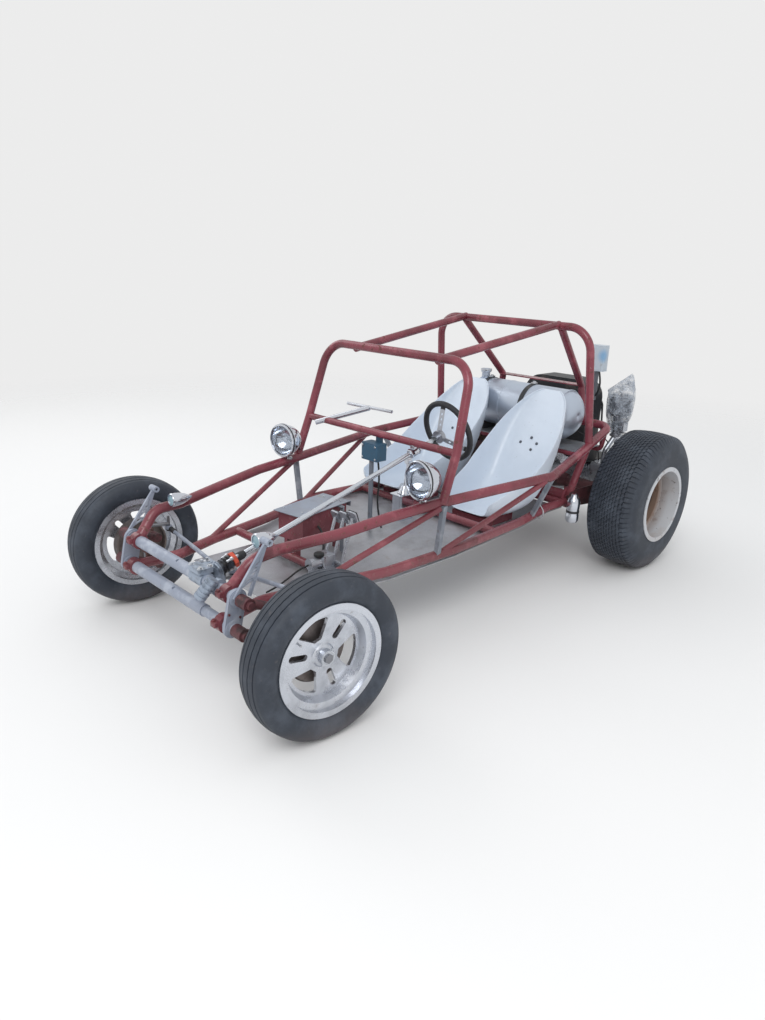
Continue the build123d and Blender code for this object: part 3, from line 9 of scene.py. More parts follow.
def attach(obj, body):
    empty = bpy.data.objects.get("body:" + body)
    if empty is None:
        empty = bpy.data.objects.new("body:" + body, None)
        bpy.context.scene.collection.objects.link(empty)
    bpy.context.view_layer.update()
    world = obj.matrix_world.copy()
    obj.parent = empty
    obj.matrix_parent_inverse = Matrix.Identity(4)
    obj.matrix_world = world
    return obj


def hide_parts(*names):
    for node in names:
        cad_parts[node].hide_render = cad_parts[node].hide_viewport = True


# Two-seat tube-frame sand buggy: the looks that go round its solids.
# Lengths are written in millimetres as (half width, distance behind the front axle, height).
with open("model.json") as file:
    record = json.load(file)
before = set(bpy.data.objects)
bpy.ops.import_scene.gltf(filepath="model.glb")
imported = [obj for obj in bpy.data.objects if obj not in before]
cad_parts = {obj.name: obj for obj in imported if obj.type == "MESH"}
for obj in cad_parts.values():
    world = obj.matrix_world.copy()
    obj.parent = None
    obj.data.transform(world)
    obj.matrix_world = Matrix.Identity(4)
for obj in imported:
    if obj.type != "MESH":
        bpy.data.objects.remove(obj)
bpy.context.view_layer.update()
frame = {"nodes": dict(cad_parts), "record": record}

FRONT_AXLE_Y = -1318.5
WHEELBASE = 2317
REAR_AXLE_Y = FRONT_AXLE_Y + WHEELBASE
KINGPIN_X = 555
FRONT_TRACK = 1402
REAR_TRACK = 1274
FRONT_TYRE_RADIUS = 300
FRONT_TYRE_WIDTH = 145
REAR_TYRE_RADIUS = 376
REAR_TYRE_WIDTH = 274
FRONT_RIM_HALF = 57
REAR_RIM_HALF = 139
RIM_FLANGE_RADIUS = 208
RIM_BEAD_RADIUS = 190
PARKED_STEER = 5
BEAM_TUBES = ((-145, 438), (-168, 330))
SIDES = (("left", 1), ("right", -1))
# how far the pressed centre of a rear wheel stands inside the tyre's middle
REAR_DISC_INSET = 34
# the drop arm's shaft, as half width and distance behind
SECTOR = (120, -98)
STEER_ARM = 105
UP, AHEAD, BACK = (0, 0, 1), (0, -1, 0), (0, 1, 0)


def at(x, behind, z):
    """A place on the buggy in metres, from millimetres of half width, distance behind and height."""
    return (x / 1000, (FRONT_AXLE_Y + behind) / 1000, z / 1000)


def places(rows):
    """Several places at once, as an array in metres."""
    return np.array([at(*row) for row in rows])


def unit(v):
    """Vectors scaled to length one."""
    v = np.asarray(v, float)
    return v / np.linalg.norm(v, axis=-1, keepdims=True)


HUB = np.array(at(257, 1038, 832))
COUPLER = np.array(at(190, -20, 490))
COLUMN = unit(HUB - COUPLER)


# Meshes

def grid_faces(rows, columns, around=False, closed_rows=False):
    """Quads of a grid of points; around joins the last column to the first, closed_rows the last row."""
    row = np.arange(rows if closed_rows else rows - 1)[:, None]
    column = np.arange(columns if around else columns - 1)[None, :]
    next_row, next_column = (row + 1) % rows, (column + 1) % columns
    corners = [row * columns + column, row * columns + next_column,
               next_row * columns + next_column, next_row * columns + column]
    return np.stack(np.broadcast_arrays(*corners), -1).reshape(-1, 4)


def placed(thing, finish, body):
    """An object put into the scene with its finish, the body that carries it and its finish's slot."""
    bpy.context.scene.collection.objects.link(thing)
    thing.data.materials.append(FINISHES[finish])
    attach(thing, body)
    return thing


def piece(name, points, faces, finish, body="chassis", smooth=40):
    """One mesh with its place in its points, sharp where faces meet by more than smooth degrees."""
    mesh = bpy.data.meshes.new(name)
    mesh.from_pydata(np.asarray(points, float).reshape(-1, 3).tolist(), [], [list(face) for face in faces])
    mesh.polygons.foreach_set("use_smooth", [True] * len(mesh.polygons))
    mesh.set_sharp_from_angle(angle=math.radians(smooth))
    mesh.update()
    return placed(bpy.data.objects.new(name, mesh), finish, body)


def lathe(origins, axes, profile, segments=12):
    """Points and faces of one profile of (radius, along) millimetres turned round several axes: each point is
    the origin, plus its distance along the axis, plus its radius times a direction that goes once round."""
    origins = np.atleast_2d(np.asarray(origins, float))
    axes = np.broadcast_to(unit(np.atleast_2d(axes)), origins.shape)
    helper = np.where(np.abs(axes[:, 2:]) < 0.9, [[0.0, 0, 1]], [[1.0, 0, 0]])
    first = unit(np.cross(helper, axes))
    second = np.cross(axes, first)
    angle = 2 * np.pi * np.arange(segments) / segments
    ring = np.cos(angle)[None, :, None] * first[:, None] + np.sin(angle)[None, :, None] * second[:, None]
    radius, along = (np.array(profile, float) / 1000).T
    points = (origins[:, None, None] + axes[:, None, None] * along[None, :, None, None]
              + ring[:, None] * radius[None, :, None, None])
    levels = len(radius)
    starts = np.arange(len(origins)) * levels * segments
    around = grid_faces(levels, segments, around=True)
    faces = (around[None] + starts[:, None, None]).reshape(-1, 4).tolist()
    for start in starts.tolist():
        last = start + (levels - 1) * segments
        faces.append(list(range(start + segments - 1, start - 1, -1)))
        faces.append(list(range(last, last + segments)))
    return points.reshape(-1, 3), faces


def hollow(centre, axis, profile, segments=48):
    """A hollow ring: a closed profile of (radius, along) millimetres turned round one axis."""
    points, _ = lathe(centre, axis, profile, segments)
    return points, grid_faces(len(profile), segments, around=True, closed_rows=True).tolist()


def joined(shapes):
    """Several sets of points and faces as one."""
    points, faces, start = [], [], 0
    for shape_points, shape_faces in shapes:
        points.append(np.asarray(shape_points).reshape(-1, 3))
        faces += [[corner + start for corner in face] for face in shape_faces]
        start += len(points[-1])
    return np.concatenate(points), faces


def looped(route, section, up):
    """A section of (sideways, upward) millimetres carried round a closed route in metres: each point is the
    route's, plus its first value across the route, plus its second square to both."""
    section = np.array(section, float) / 1000
    ahead = unit(np.roll(route, -1, 0) - np.roll(route, 1, 0))
    side = unit(np.cross(ahead, np.broadcast_to(up, ahead.shape)))
    high = np.cross(side, ahead)
    points = route[:, None] + side[:, None] * section[None, :, :1] + high[:, None] * section[None, :, 1:]
    faces = grid_faces(len(route), len(section), around=True, closed_rows=True)[:, ::-1]
    return points.reshape(-1, 3), faces.tolist()


def block(centre, size, first=(1, 0, 0), second=(0, 1, 0)):
    """A block with chamfered edges: an eight-cornered outline of the first two sizes in millimetres, spread
    along two directions, shrunk at both ends and raised by the third size across them."""
    first, second = unit(first), unit(second)
    third = np.cross(first, second)
    x, y, z = np.array(size) / 2000
    cut = min(x, y, z) * 0.3
    outline = np.array([(x - cut, -y), (x, cut - y), (x, y - cut), (x - cut, y),
                        (cut - x, y), (-x, y - cut), (-x, cut - y), (cut - x, -y)])
    levels = np.array([-z, cut - z, z - cut, z])
    shrink = np.array([1 - cut / x, 1, 1, 1 - cut / x])
    flat = outline[None] * shrink[:, None, None]
    points = flat[..., :1] * first + flat[..., 1:] * second + levels[:, None, None] * third
    faces = grid_faces(4, 8, around=True).tolist()
    return points.reshape(-1, 3) + np.asarray(centre), faces + [list(range(7, -1, -1)), list(range(24, 32))]


def rod(name, route, radius, finish):
    """A round rod or hose of one radius in millimetres on a NURBS line led by a route of points in metres."""
    curve = bpy.data.curves.new(name, "CURVE")
    curve.dimensions = "3D"
    curve.bevel_depth = radius / 1000
    curve.bevel_resolution = 3
    curve.resolution_u = 8
    curve.use_fill_caps = True
    line = curve.splines.new("NURBS")
    line.points.add(len(route) - 1)
    for point, place in zip(line.points, route):
        point.co = (*place, 1)
    line.order_u = 3
    line.use_endpoint_u = True
    return placed(bpy.data.objects.new(name, curve), finish, "chassis")


def line_of(thing):
    """The centre line of a curve as points, read from its spline with no bevel."""
    depth = thing.data.bevel_depth
    thing.data.bevel_depth = 0
    bpy.context.view_layer.update()
    mesh = bpy.data.meshes.new_from_object(thing)
    thing.data.bevel_depth = depth
    points = np.zeros(len(mesh.vertices) * 3)
    mesh.vertices.foreach_get("co", points)
    bpy.data.meshes.remove(mesh)
    return points.reshape(-1, 3)


def hose(name, rows, diameter):
    """A rubber line along a route of places; its length along the line is worked out but not used."""
    route = [at(*row) for row in rows]
    thing = rod(name, route, diameter / 2, "black_rubber")
    length = float(np.linalg.norm(np.diff(line_of(thing), axis=0), axis=1).sum())


def turnings(name, rows, axis, profile, segments, finish):
    """Several turned pieces of one profile at rows of (half width, distance behind, height)."""
    return piece(name, *lathe(places(rows), axis, profile, segments), finish)


def fitted(name, shapes, finish, body="chassis"):
    """Several shapes as one piece."""
    return piece(name, *joined(shapes), finish, body)


def turned(side, dx, dy):
    """Offset from a king pin, turned with the parked steering; dx is outward."""
    angle = math.radians(-PARKED_STEER)
    x = side * dx
    return x * math.cos(angle) - dy * math.sin(angle), x * math.sin(angle) + dy * math.cos(angle)


def wheel_axis(front, side):
    """Centre of a wheel and the direction outward along its axle."""
    if front:
        dx, dy = turned(side, FRONT_TRACK / 2 - KINGPIN_X, 0)
        centre = (side * KINGPIN_X + dx, FRONT_AXLE_Y + dy, FRONT_TYRE_RADIUS)
        outward = (*turned(side, 1, 0), 0.0)
    else:
        centre = (side * REAR_TRACK / 2, REAR_AXLE_Y, REAR_TYRE_RADIUS)
        outward = (side, 0.0, 0.0)
    return np.array(centre) / 1000, np.array(outward)


# Materials

def tone(red, green, blue):
    """A colour written as it shows on a screen, 0 to 255, as the shader's linear values."""
    shown = np.array([red, green, blue]) / 255
    linear = np.where(shown <= 0.04045, shown / 12.92, ((shown + 0.055) / 1.055) ** 2.4)
    return (*linear.tolist(), 1.0)


def effect(name, **inputs):
    """A shader node group with named inputs and one mask as its output; also gives both ends' sockets."""
    group = bpy.data.node_groups.new(name, "ShaderNodeTree")
    for label, value in inputs.items():
        kind = "NodeSocketVector" if isinstance(value, tuple) else "NodeSocketFloat"
        socket = group.interface.new_socket(label, in_out="INPUT", socket_type=kind)
        socket.default_value = value
    group.interface.new_socket("Mask", in_out="OUTPUT", socket_type="NodeSocketFloat")
    given, out = group.nodes.new("NodeGroupInput"), group.nodes.new("NodeGroupOutput")
    return group, given.outputs, out.inputs


def make_patches():
    """Patches: noise on Object coordinates, stretched between two levels into a soft-edged mask."""
    group, given, out = effect("patches", Scale=8.0, Detail=6.0, Low=0.5, High=0.6)
    new, link = group.nodes.new, group.links.new
    place = new("ShaderNodeTexCoord")
    noise = new("ShaderNodeTexNoise")
    noise.inputs["Roughness"].default_value = 0.62
    stretch = new("ShaderNodeMapRange")
    stretch.interpolation_type = "SMOOTHSTEP"
    link(place.outputs["Object"], noise.inputs["Vector"])
    link(given["Scale"], noise.inputs["Scale"])
    link(given["Detail"], noise.inputs["Detail"])
    link(noise.outputs["Fac"], stretch.inputs["Value"])
    link(given["Low"], stretch.inputs["From Min"])
    link(given["High"], stretch.inputs["From Max"])
    link(stretch.outputs["Result"], out["Mask"])
    return group


def make_specks():
    """Specks: the distance to the nearest of scattered points, cut off at a size, as small round dots."""
    group, given, out = effect("specks", Scale=200.0, Size=0.3)
    new, link = group.nodes.new, group.links.new
    place = new("ShaderNodeTexCoord")
    cells = new("ShaderNodeTexVoronoi")
    stretch = new("ShaderNodeMapRange")
    stretch.inputs["To Min"].default_value = 1.0
    stretch.inputs["To Max"].default_value = 0.0
    link(place.outputs["Object"], cells.inputs["Vector"])
    link(given["Scale"], cells.inputs["Scale"])
    link(cells.outputs["Distance"], stretch.inputs["Value"])
    link(given["Size"], stretch.inputs["From Max"])
    link(stretch.outputs["Result"], out["Mask"])
    return group


def make_low_dust():
    """Low dust: strongest at a low height and gone at a higher one, broken up by noise."""
    group, given, out = effect("low_dust", Low=0.0, High=0.5, Scale=12.0)
    new, link = group.nodes.new, group.links.new
    place = new("ShaderNodeTexCoord")
    split = new("ShaderNodeSeparateXYZ")
    fade = new("ShaderNodeMapRange")
    fade.inputs["To Min"].default_value = 1.0
    fade.inputs["To Max"].default_value = 0.0
    noise = new("ShaderNodeTexNoise")
    noise.inputs["Detail"].default_value = 5.0
    times = new("ShaderNodeMath")
    times.operation = "MULTIPLY"
    link(place.outputs["Object"], split.inputs[0])
    link(split.outputs["Z"], fade.inputs["Value"])
    link(given["Low"], fade.inputs["From Min"])
    link(given["High"], fade.inputs["From Max"])
    link(place.outputs["Object"], noise.inputs["Vector"])
    link(given["Scale"], noise.inputs["Scale"])
    link(fade.outputs["Result"], times.inputs[0])
    link(noise.outputs["Fac"], times.inputs[1])
    link(times.outputs[0], out["Mask"])
    return group


def make_above():
    """Above: one beyond a height and nothing below it, with a soft edge."""
    group, given, out = effect("above", Height=0.5, Edge=0.004)
    new, link = group.nodes.new, group.links.new
    place = new("ShaderNodeTexCoord")
    split = new("ShaderNodeSeparateXYZ")
    less = new("ShaderNodeMath")
    less.operation = "SUBTRACT"
    fade = new("ShaderNodeMapRange")
    link(place.outputs["Object"], split.inputs[0])
    link(split.outputs["Z"], less.inputs[0])
    link(given["Height"], less.inputs[1])
    link(less.outputs[0], fade.inputs["Value"])
    link(given["Edge"], fade.inputs["From Max"])
    link(fade.outputs["Result"], out["Mask"])
    return group


def make_beyond():
    """Beyond: one further than a radius from a place and nothing nearer, with a soft edge."""
    group, given, out = effect("beyond", Centre=(0.0, 0.0, 0.0), Radius=0.1, Edge=0.002)
    new, link = group.nodes.new, group.links.new
    place = new("ShaderNodeTexCoord")
    apart = new("ShaderNodeVectorMath")
    apart.operation = "DISTANCE"
    less = new("ShaderNodeMath")
    less.operation = "SUBTRACT"
    fade = new("ShaderNodeMapRange")
    link(place.outputs["Object"], apart.inputs[0])
    link(given["Centre"], apart.inputs[1])
    link(apart.outputs["Value"], less.inputs[0])
    link(given["Radius"], less.inputs[1])
    link(less.outputs[0], fade.inputs["Value"])
    link(given["Edge"], fade.inputs["From Max"])
    link(fade.outputs["Result"], out["Mask"])
    return group


EFFECTS = {"patches": make_patches(), "specks": make_specks(), "low_dust": make_low_dust(),
           "above": make_above(), "beyond": make_beyond()}


class Finish:
    """One material: its Principled shader and the steps that put effects in front of it."""

    def __init__(self, name, colour, roughness, metallic=0.0):
        self.material = bpy.data.materials.new(name)
        self.material.use_nodes = True
        self.nodes = self.material.node_tree.nodes
        self.link = self.material.node_tree.links.new
        self.shader = self.nodes["Principled BSDF"]
        self.shader.inputs["Base Color"].default_value = colour
        self.shader.inputs["Roughness"].default_value = roughness
        self.shader.inputs["Metallic"].default_value = metallic
        self.colour = None
        self.base = colour

    def mask(self, kind, **values):
        """The mask that an effect puts out with these values."""
        node = self.nodes.new("ShaderNodeGroup")
        node.node_tree = EFFECTS[kind]
        for label, value in values.items():
            node.inputs[label].default_value = value
        return node.outputs["Mask"]

    def over(self, colour, mask, share=1.0):
        """Another colour laid over the ones before it where the mask is."""
        mix = self.nodes.new("ShaderNodeMix")
        mix.data_type = "RGBA"
        mix.inputs["B"].default_value = colour
        if self.colour is None:
            mix.inputs["A"].default_value = self.base
        else:
            self.link(self.colour, mix.inputs["A"])
        self.link(self.scaled(mask, share), mix.inputs["Factor"])
        self.colour = mix.outputs["Result"]
        self.link(self.colour, self.shader.inputs["Base Color"])

    def scaled(self, mask, share):
        """A mask made weaker."""
        if share == 1.0:
            return mask
        times = self.nodes.new("ShaderNodeMath")
        times.operation = "MULTIPLY"
        times.inputs[1].default_value = share
        self.link(mask, times.inputs[0])
        return times.outputs[0]

    def varied(self, socket, mask, low, high):
        """A socket that goes from low to high with a mask."""
        spread = self.nodes.new("ShaderNodeMapRange")
        spread.inputs["To Min"].default_value = low
        spread.inputs["To Max"].default_value = high
        self.link(mask, spread.inputs["Value"])
        self.link(spread.outputs["Result"], self.shader.inputs[socket])

    def rough(self, mask, strength, distance):
        """Bumps from a mask."""
        bump = self.nodes.new("ShaderNodeBump")
        bump.inputs["Strength"].default_value = strength
        bump.inputs["Distance"].default_value = distance
        self.link(mask, bump.inputs["Height"])
        self.link(bump.outputs["Normal"], self.shader.inputs["Normal"])


def red_paint():
    """Old maroon paint: duller and darker patches, chips down to primer and rust, dust low down."""
    coat = Finish("red_paint", tone(124, 54, 66), 0.34)
    coat.over(tone(102, 42, 52), coat.mask("patches", Scale=3.5, Detail=3.0, Low=0.42, High=0.62))
    coat.over(tone(154, 84, 93), coat.mask("patches", Scale=11.0, Detail=6.0, Low=0.53, High=0.68), 0.55)
    rust = coat.mask("patches", Scale=38.0, Detail=9.0, Low=0.6, High=0.65)
    coat.over(tone(92, 54, 46), rust, 0.8)
    coat.over(tone(160, 142, 136), coat.mask("patches", Scale=70.0, Detail=4.0, Low=0.70, High=0.72), 0.6)
    coat.over(tone(152, 128, 122), coat.mask("low_dust", Low=0.2, High=0.7, Scale=9.0), 0.3)
    coat.varied("Roughness", rust, 0.27, 0.8)
    coat.rough(coat.mask("patches", Scale=90.0, Detail=8.0, Low=0.35, High=0.75), 0.2, 0.0008)
    return coat.material


def primer(name, colour, worn, roughness=0.6, stain=0.6):
    """Flat primer with rubbed lighter places and brown stains."""
    coat = Finish(name, colour, roughness)
    coat.over(worn, coat.mask("patches", Scale=14.0, Detail=8.0, Low=0.48, High=0.62))
    coat.over(tone(96, 80, 74), coat.mask("patches", Scale=26.0, Detail=9.0, Low=0.61, High=0.69), stain)
    coat.over(tone(160, 146, 136), coat.mask("low_dust", Low=0.1, High=0.7, Scale=10.0), 0.2)
    coat.rough(coat.mask("patches", Scale=120.0, Detail=6.0, Low=0.3, High=0.7), 0.2, 0.0006)
    return coat.material


def rusty_iron(name, colour, pits, bloom, gloss=0.78):
    """Bare or once painted iron: brown with darker pits and a paler bloom."""
    coat = Finish(name, colour, gloss, 0.1)
    coat.over(pits, coat.mask("patches", Scale=16.0, Detail=8.0, Low=0.45, High=0.6))
    coat.over(bloom, coat.mask("patches", Scale=34.0, Detail=9.0, Low=0.55, High=0.66), 0.65)
    coat.over(tone(150, 132, 120), coat.mask("low_dust", Low=0.05, High=0.6, Scale=10.0), 0.3)
    coat.rough(coat.mask("patches", Scale=110.0, Detail=9.0, Low=0.3, High=0.7), 0.5, 0.001)
    return coat.material


def chrome(name="chrome", pitting=0.8):
    """Chrome with slight clouding and a few rust pits."""
    coat = Finish(name, tone(206, 210, 218), 0.12, 1.0)
    coat.over(tone(120, 92, 76), coat.mask("patches", Scale=90.0, Detail=9.0, Low=0.67, High=0.72), pitting)
    coat.varied("Roughness", coat.mask("patches", Scale=12.0, Detail=5.0, Low=0.4, High=0.75), 0.08, 0.26)
    return coat.material


def cast_metal(name, colour, dark, roughness, dust=0.2):
    """Cast or bare metal: a grain of fine noise, darker oxide patches and dust."""
    coat = Finish(name, colour, roughness, 0.8)
    coat.over(dark, coat.mask("patches", Scale=18.0, Detail=8.0, Low=0.5, High=0.7), 0.6)
    coat.over(tone(146, 132, 120), coat.mask("low_dust", Low=0.05, High=0.6, Scale=14.0), dust)
    clouds = coat.mask("patches", Scale=30.0, Detail=6.0, Low=0.4, High=0.7)
    coat.varied("Roughness", clouds, roughness - 0.12, roughness + 0.22)
    coat.rough(coat.mask("patches", Scale=260.0, Detail=4.0, Low=0.3, High=0.7), 0.25, 0.0004)
    return coat.material


def wheel_alloy():
    """Machined wheel: bright satin metal with faint clouds, fine scratches and dust in its lower half."""
    coat = Finish("wheel_alloy", tone(206, 210, 218), 0.3, 0.9)
    coat.over(tone(160, 164, 172), coat.mask("patches", Scale=6.0, Detail=5.0, Low=0.45, High=0.7), 0.7)
    coat.over(tone(120, 112, 106), coat.mask("patches", Scale=40.0, Detail=9.0, Low=0.64, High=0.72), 0.45)
    coat.over(tone(150, 140, 132), coat.mask("low_dust", Low=0.05, High=0.4, Scale=20.0), 0.3)
    coat.varied("Roughness", coat.mask("patches", Scale=16.0, Detail=6.0, Low=0.4, High=0.7), 0.22, 0.46)
    coat.rough(coat.mask("patches", Scale=340.0, Detail=2.0, Low=0.3, High=0.7), 0.12, 0.0003)
    return coat.material


def sheet_metal(name, colour, speck, size, dust=tone(150, 138, 130), roughness=0.38, stain=0.5):
    """Bare sheet aluminium that has gone dull, with grey specks, stains and settled dust."""
    coat = Finish(name, colour, roughness, 0.75)
    coat.over(speck, coat.mask("specks", Scale=230.0, Size=size), 0.5)
    coat.over(tone(128, 128, 130), coat.mask("patches", Scale=5.0, Detail=8.0, Low=0.46, High=0.68), stain)
    coat.over(dust, coat.mask("patches", Scale=22.0, Detail=9.0, Low=0.55, High=0.74), stain)
    clouds = coat.mask("patches", Scale=8.0, Detail=6.0, Low=0.35, High=0.7)
    coat.varied("Roughness", clouds, roughness - 0.08, roughness + 0.25)
    coat.rough(coat.mask("patches", Scale=180.0, Detail=5.0, Low=0.3, High=0.7), 0.15, 0.0005)
    return coat.material


def tank_metal():
    """Spun tank: pale satin aluminium with long soft streaks round it and hardly a stain."""
    coat = Finish("tank_metal", tone(186, 196, 210), 0.34, 0.72)
    coat.over(tone(156, 166, 182), coat.mask("patches", Scale=2.6, Detail=3.0, Low=0.45, High=0.75), 0.6)
    coat.over(tone(120, 122, 126), coat.mask("patches", Scale=60.0, Detail=9.0, Low=0.66, High=0.73), 0.5)
    coat.varied("Roughness", coat.mask("patches", Scale=7.0, Detail=4.0, Low=0.4, High=0.7), 0.3, 0.5)
    coat.rough(coat.mask("patches", Scale=5.0, Detail=3.0, Low=0.3, High=0.7), 0.08, 0.004)
    return coat.material


def white_shell():
    """Moulded seat shell with a clear gloss, faint scuffs and a little dirt."""
    coat = Finish("white_shell", tone(206, 216, 228), 0.3)
    coat.over(tone(190, 201, 214), coat.mask("patches", Scale=3.0, Detail=4.0, Low=0.42, High=0.7), 0.6)
    coat.over(tone(140, 140, 146), coat.mask("patches", Scale=60.0, Detail=9.0, Low=0.64, High=0.72), 0.35)
    coat.varied("Roughness", coat.mask("patches", Scale=20.0, Detail=6.0, Low=0.45, High=0.7), 0.3, 0.6)
    coat.shader.inputs["Coat Weight"].default_value = 0.25
    coat.rough(coat.mask("patches", Scale=9.0, Detail=2.0, Low=0.2, High=0.8), 0.1, 0.002)
    return coat.material


def tyre_rubber():
    """Weathered rubber: blue-grey black, with paler scuffs and thin dust low down."""
    coat = Finish("tyre", tone(44, 50, 60), 0.62)
    coat.over(tone(70, 77, 88), coat.mask("patches", Scale=9.0, Detail=7.0, Low=0.42, High=0.7), 0.75)
    coat.over(tone(112, 104, 102), coat.mask("patches", Scale=46.0, Detail=9.0, Low=0.6, High=0.74), 0.25)
    coat.over(tone(128, 112, 104), coat.mask("low_dust", Low=0.0, High=0.12, Scale=20.0), 0.5)
    coat.rough(coat.mask("patches", Scale=200.0, Detail=6.0, Low=0.3, High=0.7), 0.3, 0.0006)
    return coat.material


def dark_metal(name, colour, roughness=0.5):
    """Dark painted steel or rubber with dust and rubbed patches."""
    coat = Finish(name, colour, roughness)
    coat.over(tone(92, 84, 78), coat.mask("patches", Scale=20.0, Detail=8.0, Low=0.52, High=0.72), 0.5)
    coat.over(tone(108, 76, 62), coat.mask("patches", Scale=46.0, Detail=9.0, Low=0.65, High=0.71), 0.5)
    coat.rough(coat.mask("patches", Scale=120.0, Detail=6.0, Low=0.3, High=0.7), 0.2, 0.0005)
    return coat.material


def switch_box_paint():
    """Switch box: grey post below a height, dull blue box above it, both scuffed."""
    coat = Finish("blue_box", tone(104, 110, 120), 0.5)
    coat.over(tone(48, 84, 108), coat.mask("above", Height=0.698))
    coat.over(tone(74, 66, 64), coat.mask("patches", Scale=30.0, Detail=8.0, Low=0.54, High=0.68), 0.55)
    coat.rough(coat.mask("patches", Scale=120.0, Detail=6.0, Low=0.3, High=0.7), 0.2, 0.0005)
    return coat.material


def white_steel(name, side):
    """White wheel paint on the barrel; the pressed centre inside it is brown: rust, together with painted
    shade deep in the dish.
    """
    # The base brown is the pressed centre's: rust with painted shade of the deep dish; white paint lies
    # beyond its radius.
    coat = Finish(name, tone(138, 116, 102), 0.6)
    disc = REAR_TRACK / 2 - REAR_DISC_INSET
    centre = (side * disc / 1000, REAR_AXLE_Y / 1000, REAR_TYRE_RADIUS / 1000)
    coat.over(tone(190, 192, 196), coat.mask("beyond", Centre=centre, Radius=0.176, Edge=0.045))
    coat.over(tone(160, 142, 130), coat.mask("patches", Scale=3.6, Detail=6.0, Low=0.46, High=0.7), 0.6)
    coat.over(tone(116, 88, 72), coat.mask("patches", Scale=9.0, Detail=9.0, Low=0.54, High=0.7), 0.55)
    coat.over(tone(78, 56, 48), coat.mask("patches", Scale=34.0, Detail=9.0, Low=0.6, High=0.68), 0.7)
    coat.rough(coat.mask("patches", Scale=90.0, Detail=8.0, Low=0.35, High=0.7), 0.25, 0.0006)
    return coat.material


def lamp_glass():
    """Clear ribbed glass on the headlights; the small lamps below them have cloudy pale blue lenses."""
    coat = Finish("lamp_glass", tone(140, 168, 178), 0.06)
    high = coat.mask("above", Height=0.64, Edge=0.002)
    coat.over(tone(238, 242, 246), high)
    coat.varied("Transmission Weight", high, 0.0, 1.0)
    coat.shader.inputs["IOR"].default_value = 1.42
    place = coat.nodes.new("ShaderNodeTexCoord")
    wave = coat.nodes.new("ShaderNodeTexWave")
    wave.inputs["Scale"].default_value = 34.0
    coat.link(place.outputs["Object"], wave.inputs["Vector"])
    coat.rough(wave.outputs["Fac"], 0.14, 0.001)
    return coat.material


def bag_film():
    """Thin clear plastic film, milky where it creases."""
    coat = Finish("bag_film", tone(186, 194, 206), 0.14)
    coat.shader.inputs["Coat Weight"].default_value = 0.6
    coat.shader.inputs["Specular IOR Level"].default_value = 0.9
    crease = coat.mask("patches", Scale=22.0, Detail=7.0, Low=0.38, High=0.62)
    coat.varied("Alpha", crease, 0.12, 0.6)
    coat.rough(coat.mask("patches", Scale=34.0, Detail=6.0, Low=0.3, High=0.7), 0.9, 0.006)
    return coat.material


def cloudy_bottle():
    """Thin white plastic with a pale blue patch on its broad side."""
    coat = Finish("cloudy_bottle", tone(196, 206, 216), 0.3)
    middle = at(252, 2428, 1106)
    coat.over(tone(104, 168, 216), coat.mask("beyond", Centre=middle, Radius=0.046, Edge=-0.03), 0.75)
    coat.over(tone(150, 152, 150), coat.mask("patches", Scale=44.0, Detail=8.0, Low=0.6, High=0.72), 0.5)
    coat.over(tone(104, 108, 116), coat.mask("above", Height=1.016, Edge=-0.002))
    coat.shader.inputs["Transmission Weight"].default_value = 0.25
    return coat.material


def grip_and_spokes():
    """Steering wheel: black grip beyond a radius from the hub, brushed spokes inside it."""
    coat = Finish("grip_and_spokes", tone(176, 180, 188), 0.3)
    grip = coat.mask("beyond", Centre=HUB.tolist(), Radius=0.122)
    coat.over(tone(34, 36, 40), grip)
    coat.varied("Roughness", grip, 0.28, 0.55)
    coat.varied("Metallic", grip, 0.9, 0.0)
    return coat.material


def column_chrome():
    """Steering shaft: chrome, with an orange rubber disc at its lower joint."""
    coat = Finish("column_chrome", tone(190, 76, 54), 0.5)
    far = coat.mask("beyond", Centre=COUPLER.tolist(), Radius=0.04)
    coat.over(tone(206, 212, 220), far)
    coat.over(tone(140, 118, 104), coat.mask("patches", Scale=60.0, Detail=9.0, Low=0.64, High=0.7), 0.6)
    coat.varied("Metallic", far, 0.0, 1.0)
    coat.varied("Roughness", far, 0.55, 0.16)
    return coat.material


def box_metal():
    """Steering gear: pale cast housing, its neck by the joint black with grease."""
    coat = Finish("box_metal", tone(32, 31, 34), 0.36, 0.4)
    coat.over(tone(150, 161, 176), coat.mask("beyond", Centre=COUPLER.tolist(), Radius=0.072, Edge=0.006))
    coat.over(tone(84, 90, 100), coat.mask("patches", Scale=20.0, Detail=8.0, Low=0.5, High=0.68), 0.7)
    coat.over(tone(108, 96, 88), coat.mask("patches", Scale=60.0, Detail=8.0, Low=0.6, High=0.7), 0.6)
    coat.rough(coat.mask("patches", Scale=260.0, Detail=4.0, Low=0.3, High=0.7), 0.25, 0.0004)
    return coat.material


